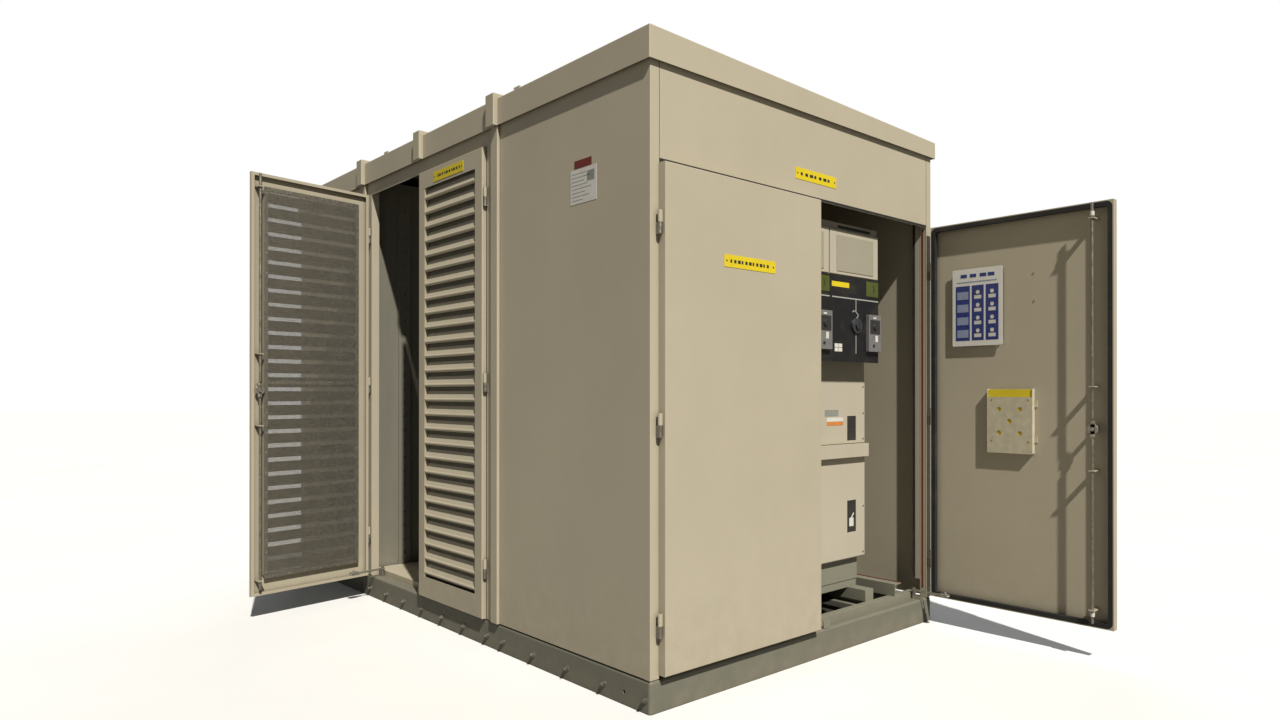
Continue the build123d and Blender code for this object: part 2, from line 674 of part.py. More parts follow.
def relay_covers():
    """Raised covers of the control boxes above the diagram."""
    covers = []
    for left, right in zip(BAY_EDGES, BAY_EDGES[1:]):
        cover = block(MECHANISM_FRONT, MECHANISM_FRONT + 8, left + 3, right - 3, 1588, 1782)
        covers.append(fillet(cover.faces().sort_by(Axis.X)[-1].edges(), 3))
    return covers


def operator_panels():
    """Grey operating panels at the right of each bay."""
    x0 = MECHANISM_FRONT + 4
    return [slab(x0, x0 + 18, right - 90, right, 1262, 1425, 3) for right in BAY_EDGES[1:]]


SHAFT_YS = tuple(right - 164 for right in BAY_EDGES[1:])
SHAFT_Z = 1373


def operating_shaft(y):
    """Rotary drive with a slotted face, turned between earth, off and on."""
    x0 = MECHANISM_FRONT + 4.3
    disc = rod((x0, y, SHAFT_Z), (1, 0, 0), 34, 10)
    disc = fillet(disc.edges().sort_by(Axis.X)[-1], 2)
    boss = rod((x0 + 10, y, SHAFT_Z), (1, 0, 0), 17, 10)
    slot = block(x0 + 12, x0 + 21, y - 3, y + 3, SHAFT_Z - 20, SHAFT_Z + 20)
    return [(disc + boss) - slot]


# ---------------------------------------------------------------- transformer room
def transformer_tank():
    """Open-topped oil tank with a bolting rim, welded on two skid rails."""
    x, y, wall = TANK_HALF_X, TANK_HALF_Y, 5
    tank = slab(-x, x, -y, y, TANK_BOTTOM, TANK_TOP, 30)
    rim = slab(-x - 35, x + 35, -y - 35, y + 35, TANK_TOP - 12, TANK_TOP, 30)
    tank = (tank + rim) - slab(wall - x, x - wall, wall - y, y - wall, TANK_BOTTOM + wall,
                               TANK_TOP + 1, 25)
    rails = both_sides([block(-560, 560, -200, -140, FLOOR_TOP, TANK_BOTTOM)])
    return [tank, *rails]


def transformer_core():
    """Core yokes with a wound limb for each phase between them."""
    yokes = [block(-440, 440, -70, 70, z, z + 130) for z in (TANK_BOTTOM + 5, 960)]
    low = TANK_BOTTOM + 135
    windings = [rod((x, 0, low), (0, 0, 1), 135, 960 - low) for x in (-290, 0, 290)]
    return [*yokes, *windings]


def transformer_cover():
    cover = slab(-TANK_HALF_X - 35, TANK_HALF_X + 35, -TANK_HALF_Y - 35, TANK_HALF_Y + 35,
                 TANK_TOP, TANK_TOP + 14, 30)
    neck = rod((TANK_HALF_X - 90, 120, TANK_TOP + 14), (0, 0, 1), 45, 60)
    return [cover, neck]


def transformer_radiators():
    """Cooling fins along both long sides of the tank."""
    fins = []
    count = 15
    pitch = 62
    for k in range(count):
        x = (k - (count - 1) / 2) * pitch
        fins.append(block(x - 5, x + 5, -TANK_HALF_Y - 190, -TANK_HALF_Y, 300, 1130))
    return both_sides(fins)


def bushing(x, y, z, radius, height, sheds):
    """Insulator with sheds and a terminal stud."""
    body = rod((x, y, z), (0, 0, 1), radius * 0.6, height)
    for k in range(sheds):
        shed = Pos(x, y, z + height * (k + 0.7) / (sheds + 0.4)) * Cone(radius, radius * 0.62, height / sheds * 0.45)
        body = body + shed
    stud = rod((x, y, z + height), (0, 0, 1), radius * 0.28, 40)
    return body + stud


def transformer_bushings():
    """Three high-voltage and four low-voltage bushings on the cover."""
    top = TANK_TOP + 14
    high = [bushing(x, -130, top, 45, 230, 4) for x in (60, 230, 400)]
    low = [bushing(x, 110, top, 32, 110, 2) for x in (-400, -270, -140, -10)]
    return [*high, *low]


TAP_X, TAP_Y = -300, -120


def tap_knob():
    """Off-circuit tap selector: a hand knob with a pointer."""
    z = TANK_TOP + 15
    disc = rod((TAP_X, TAP_Y, z), (0, 0, 1), 42, 22)
    grip = slab(TAP_X - 50, TAP_X + 50, TAP_Y - 11, TAP_Y + 11, z + 20, z + 46, 8)
    return [disc + grip]


VALVE_STEM = 52         # the valve's stem stands this far out from the tank
VALVE_Z = 250


def drain_valve():
    """Drain valve body at the foot of the tank's end."""
    x = TANK_HALF_X
    pipe = rod((x, 0, VALVE_Z), (1, 0, 0), 20, 90)
    flange = rod((x + 90, 0, VALVE_Z), (1, 0, 0), 38, 12)
    bonnet = rod((x + VALVE_STEM, 0, VALVE_Z), (0, 0, 1), 16, 60)
    return [pipe + flange + bonnet]


def drain_wheel():
    """Handwheel of the drain valve."""
    x, z = TANK_HALF_X + VALVE_STEM, VALVE_Z + 60.5
    rim = Pos(x, 0, z + 12) * Torus(40, 6)
    hub = rod((x, 0, z), (0, 0, 1), 12, 22)
    spokes = block(x - 40, x + 40, -4, 4, z + 9, z + 15) + block(x - 4, x + 4, -40, 40, z + 9, z + 15)
    return [rim + hub + spokes]


# ---------------------------------------------------------------- low-voltage room
def low_voltage_board():
    """Steel plate and feet that carry the switches, facing the -X doors."""
    plate = block(BOARD_X, BOARD_X + 4, -560, 560, 420, 1750)
    feet = both_sides([block(BOARD_X + 4, BOARD_X + 44, -560, -520, FLOOR_TOP, 1750)])
    return [plate, *feet]


def busbars():
    """Three phase bars and the neutral across the top of the board."""
    bars = []
    for k, z in enumerate((1500, 1580, 1660, 1720)):
        high = 40 if k < 3 else 25
        bars.append(block(BOARD_X - 60, BOARD_X - 50, -520, 520, z, z + high))
    supports = both_sides([block(BOARD_X - 50, BOARD_X, -500, -470, 1490, 1750)])
    return [*bars, *supports]


def main_breaker():
    """Moulded-case incoming breaker."""
    body = slab(BOARD_X - 150, BOARD_X, -480, -200, 900, 1300, 6)
    body -= block(BOARD_X - 151, BOARD_X - 100, -380, -300, 1030, 1170)
    return [body]


TOGGLE_Y, TOGGLE_Z = -340, 1100


def breaker_toggle():
    """Breaker handle that turns about a level pin in its slot."""
    x = BOARD_X - 112
    pivot = rod((x, TOGGLE_Y - 30, TOGGLE_Z), (0, 1, 0), 7, 60)
    arm = block(x - 95, x, TOGGLE_Y - 14, TOGGLE_Y + 14, TOGGLE_Z - 7, TOGGLE_Z + 7)
    return [pivot + arm]


def fuse_bases():
    """Bodies of the outgoing fuse-switches."""
    return [slab(BOARD_X - 60, BOARD_X, y - 60, y + 60, 820, 1330, 5) for y in FUSE_YS]


def fuse_front(y):
    """Hinged fuse carrier with a pull grip, closed on its base."""
    x1 = BOARD_X - 60.5
    front = slab(x1 - 45, x1, y - 58, y + 58, 850, 1300, 5)
    grip = block(x1 - 80, x1 - 45, y - 40, y + 40, 1240, 1262)
    barrel = rod((FUSE_HINGE_X, y - 50, FUSE_HINGE_Z), (0, 1, 0), 5, 100)
    strap = block(FUSE_HINGE_X - 5, FUSE_HINGE_X + 5, y - 40, y + 40, FUSE_HINGE_Z, 852)
    return [front + grip + barrel + strap]


def earth_bar():
    """Copper earth bar on stand-offs beside the low-voltage sill."""
    bar = block(-1590, -1580, -500, 500, 170, 210)
    feet = both_sides([block(-1580, -1566, -480, -450, FLOOR_TOP, 210)])
    for k in range(7):
        bar -= rod((-1591, -420 + 140 * k, 190), (1, 0, 0), 6, 12)
    rails = both_sides([block(-1602, -1225, -515, -485, BASE_HEIGHT + 8, FLOOR_TOP)])
    return [bar, *feet, *rails]


# ---------------------------------------------------------------- fittings on the doors
def document_pocket(door):
    """Open-topped holder inside the leaf, with a drilled front."""
    x0, x1, z0, z1 = door.edge - 487, door.edge - 279, 813, 1095
    y0 = door.front + SHEET
    y1 = y0 + 22
    pocket = block(x0, x1, y0, y1, z0, z1)
    pocket = fillet(pocket.edges().filter_by(Axis.Y).group_by(Axis.Z)[0], 5)
    pocket -= block(x0 + 2, x1 - 2, y0 + 2, y1 - 2, z0 + 2, z1 + 1)
    pocket -= block(x0 + 2, x1 - 2, y1 - 3, y1 + 1, z1 - 36, z1 + 1)
    middle_x, middle_z = (x0 + x1) / 2, (z0 + z1) / 2
    for dx, dz, radius in ((0, 0, 10), (-48, -52, 10), (48, -52, 10), (-48, 52, 10), (48, 52, 10),
                           (-85, -90, 5), (85, -90, 5), (-85, 90, 5), (85, 90, 5)):
        pocket -= rod((middle_x + dx, y1 - 3, middle_z + dz), (0, 1, 0), radius, 4)
    tabs = [block(x0 - 14, x0, y0, y0 + 3, z, z + 30) for z in (z0 + 50, z1 - 80)]
    for tab in tabs:
        pocket = pocket + tab
    return [place_on_leaf(pocket, door)]


def sign_plate(door):
    """Safety sign inside the leaf, held off the skin by four studs."""
    skin = door.front + SHEET
    x0, x1, z0, z1 = door.edge - 347, door.edge - 105, 1290, 1640
    plate = flat_plate(x0, x1, z0, z1, skin + 12, skin + 15, 6)
    for x in (x0 + 12, x1 - 12):
        for z in (z0 + 12, z1 - 12):
            plate = plate + rod((x, skin, z), (0, 1, 0), 4, 12.5)
    return [place_on_leaf(plate, door)]


def label_plates():
    """Fixed plates: header name plate, rating plate and inspection plate."""
    header = block(HALF_L, HALF_L + 2, -121, 138, 1923, 1969)
    rating = block(1255, 1361, -HALF_W - 1.5, -HALF_W, 1903, 1932)
    inspection = block(1229, 1392, -HALF_W - 1, -HALF_W, 1772, 1900)
    return [header, rating, inspection]


# ---------------------------------------------------------------- assembly
LOCKED_DOORS = ("hv_right", "tx_left", "lv_right")
STAYED_DOORS = ("hv_right", "tx_left")


def assembly():
    """Every node's name and its solids."""
    nodes = {
        "base_frame": base_frame(),
        "base_bolts": base_bolts(),
        "floor_plates": floor_plates(),
        "frame_posts": frame_posts(),
        "wall_panels": [*wall_panels(), *partitions()],
        "joint_covers": joint_covers(),
        "roof_sections": roof_sections(),
        "lifting_lugs": lifting_lugs(),
        "rear_louvre_panel": rear_louvre_panel(),
        "label_plates": label_plates(),
        "switchgear_plinth": switchgear_plinth(),
        "switchgear_body": switchgear_body(),
        "switchgear_covers": [*cable_covers(), *relay_covers(), *operator_panels()],
        "switchgear_mimic_panel": mimic_panel(),
        "transformer_tank": transformer_tank(),
        "transformer_core": transformer_core(),
        "transformer_cover": transformer_cover(),
        "transformer_radiators": transformer_radiators(),
        "transformer_bushings": transformer_bushings(),
        "tap_selector_knob": tap_knob(),
        "drain_valve": drain_valve(),
        "drain_handwheel": drain_wheel(),
        "low_voltage_board": low_voltage_board(),
        "busbars": busbars(),
        "main_breaker": main_breaker(),
        "main_breaker_toggle": breaker_toggle(),
        "fuse_switch_bases": fuse_bases(),
        "earth_bar": earth_bar(),
    }
    for name, y in zip(("left", "middle", "right"), SHAFT_YS):
        nodes[f"switchgear_shaft_{name}"] = operating_shaft(y)
    for k, y in enumerate(FUSE_YS, start=1):
        nodes[f"fuse_carrier_{k}"] = fuse_front(y)
    hinges = []
    pivots = []
    for name, door in DOORS.items():
        locked = name in LOCKED_DOORS
        hinges += fixed_hinges(door)
        if name.startswith("tx"):
            nodes[f"{name}_leaf"] = louvre_leaf(door, locked)
            nodes[f"{name}_mesh"] = vermin_mesh(door)
        else:
            nodes[f"{name}_leaf"] = plain_leaf(door, locked)
            nodes[f"{name}_gasket"] = leaf_gasket(door)
        if locked:
            nodes[f"{name}_handle"] = lock_handle(door)
            nodes[f"{name}_rod_upper"] = locking_rod(door, True)
            nodes[f"{name}_rod_lower"] = locking_rod(door, False)
        if name in STAYED_DOORS:
            nodes[f"{name}_stay"] = door_stay(door)
            pivots.append(stay_pivot(door))
    nodes["fixed_pivots"] = [*hinges, *pivots]
    nodes["tx_right_latch"] = latch_lever(DOORS["tx_right"])
    nodes["document_pocket"] = document_pocket(DOORS["hv_right"])
    nodes["sign_plate"] = sign_plate(DOORS["hv_right"])
    return nodes


def main():
    os.makedirs("parts", exist_ok=True)
    for name, solids in assembly().items():
        pieces = [piece for solid in solids for piece in solid.solids()]
        export_step(Compound(pieces), f"parts/{name}.step")


if __name__ == "__main__":
    main()
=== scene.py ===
import json
import math

import bmesh
import bpy
from mathutils import Matrix, Vector


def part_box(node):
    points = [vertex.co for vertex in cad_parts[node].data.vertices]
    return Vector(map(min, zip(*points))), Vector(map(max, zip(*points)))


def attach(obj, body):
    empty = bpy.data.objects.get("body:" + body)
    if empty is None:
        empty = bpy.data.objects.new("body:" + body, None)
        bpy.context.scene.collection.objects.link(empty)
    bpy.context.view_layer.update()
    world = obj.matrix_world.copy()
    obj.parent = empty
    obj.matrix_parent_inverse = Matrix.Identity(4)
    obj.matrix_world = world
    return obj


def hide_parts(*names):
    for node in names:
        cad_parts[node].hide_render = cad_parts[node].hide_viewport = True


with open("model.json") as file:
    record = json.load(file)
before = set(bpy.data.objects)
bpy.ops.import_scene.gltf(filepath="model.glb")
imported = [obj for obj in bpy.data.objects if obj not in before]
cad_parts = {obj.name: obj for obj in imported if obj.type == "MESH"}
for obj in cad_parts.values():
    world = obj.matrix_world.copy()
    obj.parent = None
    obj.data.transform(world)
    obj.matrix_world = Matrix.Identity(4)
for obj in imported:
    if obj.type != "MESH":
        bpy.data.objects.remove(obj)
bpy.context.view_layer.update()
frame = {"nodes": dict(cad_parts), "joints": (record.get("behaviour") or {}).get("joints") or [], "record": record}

# Metres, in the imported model's own frame: +X is the high-voltage end, -Y the long front, +Z up.
MM = 0.001
Z_AXIS = Vector((0, 0, 1))


# ---------------------------------------------------------------- camera and light
CAMERA_PLACE = Vector((3.853, -2.6705, 1.072))
CAMERA_HEADING = math.radians(136.29)   # from +X, anticlockwise
CAMERA_PITCH = math.radians(0.12)
CAMERA_LENS = 23.75
CAMERA_SENSOR = 36
CAMERA_SHIFT = (-0.0524, 0.0252)
CAMERA_CLIP = (0.05, 200)

# A distant light is where it shines from, its strength, its spread in degrees and its colour.
SUN = (Vector((0.87, -0.28, 1.0)), 4.95, 1.2, (1.0, 0.965, 0.9))
BACK_LIGHT = (Vector((-0.8, 0.75, 0.45)), 1.1, 50, (0.93, 0.96, 1.0))

# The dome is a colour and a strength: one that the camera sees and one that lights the part.
DOME_SEEN = ((1, 1, 1, 1), 1.0)
DOME_LIT = ((0.86, 0.93, 1.0, 1), 0.12)


def make_camera():
    data = bpy.data.cameras.new("camera")
    data.lens = CAMERA_LENS
    data.sensor_width = CAMERA_SENSOR
    data.shift_x, data.shift_y = CAMERA_SHIFT
    data.clip_start, data.clip_end = CAMERA_CLIP
    camera = bpy.data.objects.new("camera", data)
    look = Vector((math.cos(CAMERA_HEADING) * math.cos(CAMERA_PITCH),
                   math.sin(CAMERA_HEADING) * math.cos(CAMERA_PITCH), math.sin(CAMERA_PITCH)))
    camera.rotation_mode = "QUATERNION"
    camera.rotation_quaternion = look.to_track_quat("-Z", "Y")
    camera.location = CAMERA_PLACE
    bpy.context.scene.collection.objects.link(camera)
    bpy.context.scene.camera = camera


def distant_light(name, direction, strength, spread, colour):
    sun = bpy.data.lights.new(name, "SUN")
    sun.energy = strength
    sun.angle = math.radians(spread)
    sun.color = colour
    lamp = bpy.data.objects.new(name, sun)
    lamp.rotation_mode = "QUATERNION"
    lamp.rotation_quaternion = (-direction).to_track_quat("-Z", "Y")
    bpy.context.scene.collection.objects.link(lamp)


def backdrop(nodes, colour, strength):
    made = nodes.new("ShaderNodeBackground")
    made.inputs["Color"].default_value = colour
    made.inputs["Strength"].default_value = strength
    return made.outputs[0]


def make_dome():
    """Plain white where the camera sees it, and a weak pale light that fills the shade."""
    world = bpy.data.worlds.new("dome")
    bpy.context.scene.world = world
    world.use_nodes = True
    nodes, links = world.node_tree.nodes, world.node_tree.links
    nodes.clear()
    seen = backdrop(nodes, *DOME_SEEN)
    lit = backdrop(nodes, *DOME_LIT)
    camera_ray = nodes.new("ShaderNodeLightPath").outputs["Is Camera Ray"]
    mix = nodes.new("ShaderNodeMixShader")
    out = nodes.new("ShaderNodeOutputWorld")
    links.new(camera_ray, mix.inputs[0])
    links.new(lit, mix.inputs[1])
    links.new(seen, mix.inputs[2])
    links.new(mix.outputs[0], out.inputs["Surface"])


def make_lights():
    """The sun, a broad weak light for the far sides, and the dome."""
    distant_light("sun", *SUN)
    distant_light("back_light", *BACK_LIGHT)
    make_dome()


# ---------------------------------------------------------------- materials
class Tree:
    """A short way to write a material's nodes."""

    def __init__(self, name):
        self.material = bpy.data.materials.new(name)
        self.material.use_nodes = True
        self.nodes = self.material.node_tree.nodes
        self.links = self.material.node_tree.links
        self.shader = self.nodes["Principled BSDF"]
        self.place = self.nodes.new("ShaderNodeTexCoord").outputs["Object"]

    def node(self, kind, inputs=None, **settings):
        made = self.nodes.new("ShaderNode" + kind)
        for key, value in settings.items():
            setattr(made, key, value)
        for key, value in (inputs or {}).items():
            self.put(value, made.inputs[key])
        return made

    def put(self, value, socket):
        if isinstance(value, bpy.types.NodeSocket):
            self.links.new(value, socket)
        else:
            socket.default_value = value

    def stretched(self, scale):
        return self.node("Mapping", {"Vector": self.place, "Scale": scale}).outputs[0]

    def noise(self, scale, detail=3.0, rough=0.5, at=None):
        """Noise from 0 to 1 with scale in cells per metre."""
        made = self.node("TexNoise", {"Vector": at or self.place, "Scale": scale, "Detail": detail,
                                      "Roughness": rough})
        return made.outputs[0]

    def ramp(self, value, low, high, to_low=0.0, to_high=1.0):
        made = self.node("MapRange", {"Value": value, "From Min": low, "From Max": high,
                                      "To Min": to_low, "To Max": to_high})
        return made.outputs[0]

    def maths(self, operation, a, b):
        return self.node("Math", {0: a, 1: b}, operation=operation).outputs[0]

    def mix(self, factor, a, b, blend="MIX"):
        made = self.node("Mix", data_type="RGBA", blend_type=blend)
        self.put(factor, made.inputs[0])
        self.put(a, made.inputs[6])
        self.put(b, made.inputs[7])
        return made.outputs[2]

    def bump(self, height, distance, strength=1.0, under=None):
        inputs = {"Height": height, "Distance": distance, "Strength": strength}
        if under is not None:
            inputs["Normal"] = under
        return self.node("Bump", inputs).outputs[0]

    def edges(self, radius):
        """About 1 on sharp outer edges and corners, 0 on flats."""
        round_normal = self.node("Bevel", {"Radius": radius}, samples=4).outputs[0]
        flat_normal = self.node("NewGeometry").outputs["Normal"]
        dot = self.node("VectorMath", {0: round_normal, 1: flat_normal}, operation="DOT_PRODUCT")
        return self.ramp(dot.outputs["Value"], 0.995, 0.86)

    def height(self):
        return self.node("SeparateXYZ", {0: self.place}).outputs[2]

    def finish(self, colour, rough, normal=None, metallic=0.0):
        self.put(colour, self.shader.inputs["Base Color"])
        self.put(rough, self.shader.inputs["Roughness"])
        self.shader.inputs["Metallic"].default_value = metallic
        if normal is not None:
            self.put(normal, self.shader.inputs["Normal"])
        return self.material


def rgb(red, green, blue):
    return (red, green, blue, 1.0)


def shade(colour, factor):
    return rgb(*(channel * factor for channel in colour[:3]))


CREAM = rgb(0.455, 0.405, 0.300)
WARM_WHITE = rgb(0.46, 0.42, 0.325)
BASE_GREY = rgb(0.158, 0.155, 0.118)
PARTITION_GREY = rgb(0.165, 0.158, 0.125)
DUST = rgb(0.30, 0.25, 0.17)
YELLOW = rgb(0.72, 0.56, 0.02)
INK = rgb(0.03, 0.028, 0.025)


# Where a coat changes colour, in metres from the cabinet's middle.
END_ROOM_FLOOR = (0.690, 0.695)     # along: the floor turns to the end rooms' colour between these
PARTITION = 0.670                   # along: middle of each partition sheet
PARTITION_HALF = 0.0065
INSIDE_HALF_WIDTH = 0.84            # across: the partitions' colour stops at the outer walls


def end_rooms_tone(t, tone, blotch, end_colour):
    """The end rooms' own colour beyond the partitions."""
    across = t.maths("ABSOLUTE", t.node("SeparateXYZ", {0: t.place}).outputs[0], 0.0)
    end_tone = t.mix(blotch, end_colour, shade(end_colour, 1.1))
    return t.mix(t.ramp(across, *END_ROOM_FLOOR), tone, end_tone)


def partition_tone(t, tone, partition_colour):
    """The partition sheets' own colour."""
    x, y, _ = t.node("SeparateXYZ", {0: t.place}).outputs
    along = t.maths("ABSOLUTE", x, 0.0)
    sheet = t.node("Math", {0: along, 1: PARTITION, 2: PARTITION_HALF}, operation="COMPARE").outputs[0]
    inside = t.maths("LESS_THAN", t.maths("ABSOLUTE", y, 0.0), INSIDE_HALF_WIDTH)
    return t.mix(t.maths("MULTIPLY", sheet, inside), tone, partition_colour)


def powder_coat(name, colour, rough=0.42, dust_to=0.5, wear=0.3, painted_shade_in_recesses=0.55,
                end_rooms=None, partition=None):
    """Sprayed coat on sheet steel: orange peel, faint blotches, painted shade in recesses and dust at the foot."""
    t = Tree(name)
    blotch = t.ramp(t.noise(1.6, 4.0, 0.6), 0.3, 0.7)
    streak = t.ramp(t.noise(9.0, 3.0, 0.6, t.stretched((1.0, 1.0, 0.12))), 0.35, 0.75)
    speck = t.ramp(t.noise(420.0, 2.0, 0.7), 0.62, 0.80)
    tone = t.mix(blotch, shade(colour, 0.955), shade(colour, 1.035))
    if end_rooms:
        tone = end_rooms_tone(t, tone, blotch, end_rooms)
    if partition:
        tone = partition_tone(t, tone, partition)
    tone = t.mix(t.maths("MULTIPLY", streak, 0.10), tone, shade(colour, 0.82))
    tone = t.mix(t.maths("MULTIPLY", speck, 0.10), tone, shade(colour, 0.60))
    low = t.ramp(t.height(), dust_to, 0.0)
    grime = t.maths("MULTIPLY", low, t.ramp(t.noise(14.0, 5.0, 0.65), 0.35, 0.75))
    tone = t.mix(t.maths("MULTIPLY", grime, 0.45), tone, DUST)
    # Painted shade: ambient occlusion darkens recesses, gaps and corners towards a dark dust colour.
    recess_shade = t.ramp(t.node("AmbientOcclusion", {"Distance": 0.05}, samples=6).outputs["AO"], 0.75, 0.1)
    tone = t.mix(t.maths("MULTIPLY", recess_shade, painted_shade_in_recesses), tone, shade(DUST, 0.35))
    rub = t.maths("MULTIPLY", t.edges(0.0022), t.ramp(t.noise(55.0, 3.0, 0.6), 0.25, 0.65))
    tone = t.mix(t.maths("MULTIPLY", rub, wear), tone, shade(colour, 1.45))
    roughness = t.ramp(t.noise(22.0, 3.0), 0.3, 0.7, rough - 0.05, rough + 0.07)
    roughness = t.maths("ADD", roughness, t.maths("MULTIPLY", grime, 0.2))
    wave = t.bump(t.noise(2.2, 1.0), 0.010, 0.28)
    peel = t.bump(t.noise(650.0, 1.0), 0.00010, 0.5, wave)
    return t.finish(tone, roughness, peel)


def zinc(name, colour=rgb(0.42, 0.41, 0.38), rough=0.42, spangle=90.0):
    """Galvanised or plated steel with spangle, dull patches and rubbed edges."""
    t = Tree(name)
    cells = t.node("TexVoronoi", {"Vector": t.place, "Scale": spangle}).outputs["Color"]
    grey = t.node("SeparateColor", {0: cells}).outputs[0]
    tone = t.mix(grey, shade(colour, 0.82), shade(colour, 1.12))
    dull = t.ramp(t.noise(12.0, 4.0, 0.6), 0.45, 0.75)
    tone = t.mix(t.maths("MULTIPLY", dull, 0.4), tone, shade(colour, 0.62))
    tone = t.mix(t.maths("MULTIPLY", t.edges(0.0012), 0.5), tone, shade(colour, 1.4))
    roughness = t.ramp(grey, 0.0, 1.0, rough - 0.06, rough + 0.1)
    return t.finish(tone, roughness, t.bump(t.noise(500.0, 2.0), 0.00008, 0.6), metallic=0.85)


def moulded(name, colour, rough=0.45, grain=300.0, wear=0.35):
    """Moulded plastic or rubber with a fine grain and paler worn edges."""
    t = Tree(name)
    tone = t.mix(t.ramp(t.noise(30.0, 4.0, 0.6), 0.3, 0.7), shade(colour, 0.88), shade(colour, 1.12))
    dust = t.ramp(t.noise(8.0, 5.0, 0.7), 0.5, 0.8)
    tone = t.mix(t.maths("MULTIPLY", dust, 0.10), tone, DUST)
    pale = rgb(*(0.5 * channel + 0.12 for channel in colour[:3]))
    tone = t.mix(t.maths("MULTIPLY", t.edges(0.001), wear), tone, pale)
    roughness = t.ramp(t.noise(60.0, 3.0), 0.3, 0.7, rough - 0.06, rough + 0.08)
    return t.finish(tone, roughness, t.bump(t.noise(grain, 2.0), 0.0002, 0.5))


def printed(name, colour, rough=0.3):
    """Printed or engraved plate: a smooth face, slightly faded and scuffed."""
    t = Tree(name)
    fade = t.ramp(t.noise(18.0, 4.0, 0.6), 0.3, 0.75)
    tone = t.mix(fade, shade(colour, 0.92), shade(colour, 1.04))
    scuff = t.ramp(t.noise(160.0, 3.0, 0.7), 0.66, 0.8)
    tone = t.mix(t.maths("MULTIPLY", scuff, 0.25), tone, shade(colour, 0.7))
    roughness = t.ramp(t.noise(45.0, 3.0), 0.3, 0.7, rough - 0.05, rough + 0.12)
    return t.finish(tone, roughness, t.bump(t.noise(260.0, 2.0), 0.00006, 0.4))


def copper(name, colour):
    """Bare copper bar, drawn along its length and a little tarnished."""
    t = Tree(name)
    drawn = t.noise(220.0, 3.0, 0.6, t.stretched((1.0, 0.04, 1.0)))
    tone = t.mix(drawn, shade(colour, 0.8), shade(colour, 1.15))
    tarnish = t.ramp(t.noise(16.0, 5.0, 0.65), 0.45, 0.75)
    tone = t.mix(t.maths("MULTIPLY", tarnish, 0.6), tone, rgb(0.16, 0.07, 0.035))
    return t.finish(tone, t.ramp(tarnish, 0.0, 1.0, 0.28, 0.55), t.bump(drawn, 0.0001, 0.4),
                    metallic=1.0)


def glazed(name, colour):
    """Brown glazed porcelain with pooled glaze and fine pinholes."""
    t = Tree(name)
    pool = t.ramp(t.noise(25.0, 4.0, 0.6), 0.3, 0.7)
    tone = t.mix(pool, shade(colour, 0.7), shade(colour, 1.25))
    tone = t.mix(t.maths("MULTIPLY", t.edges(0.003), 0.5), tone, shade(colour, 2.2))
    made = t.finish(tone, t.ramp(pool, 0.0, 1.0, 0.12, 0.22), t.bump(t.noise(90.0, 2.0), 0.0003, 0.3))
    t.shader.inputs["Coat Weight"].default_value = 0.6
    return made


def pale_floor():
    """Pale to the eye, but it throws back only as much light as plain ground."""
    t = Tree("floor")
    tone = t.mix(t.ramp(t.noise(0.7, 4.0), 0.3, 0.7), rgb(0.76, 0.76, 0.75), rgb(0.80, 0.80, 0.79))
    seen = t.node("LightPath").outputs["Is Camera Ray"]
    return t.finish(t.mix(seen, rgb(0.24, 0.23, 0.21), tone), 0.85)


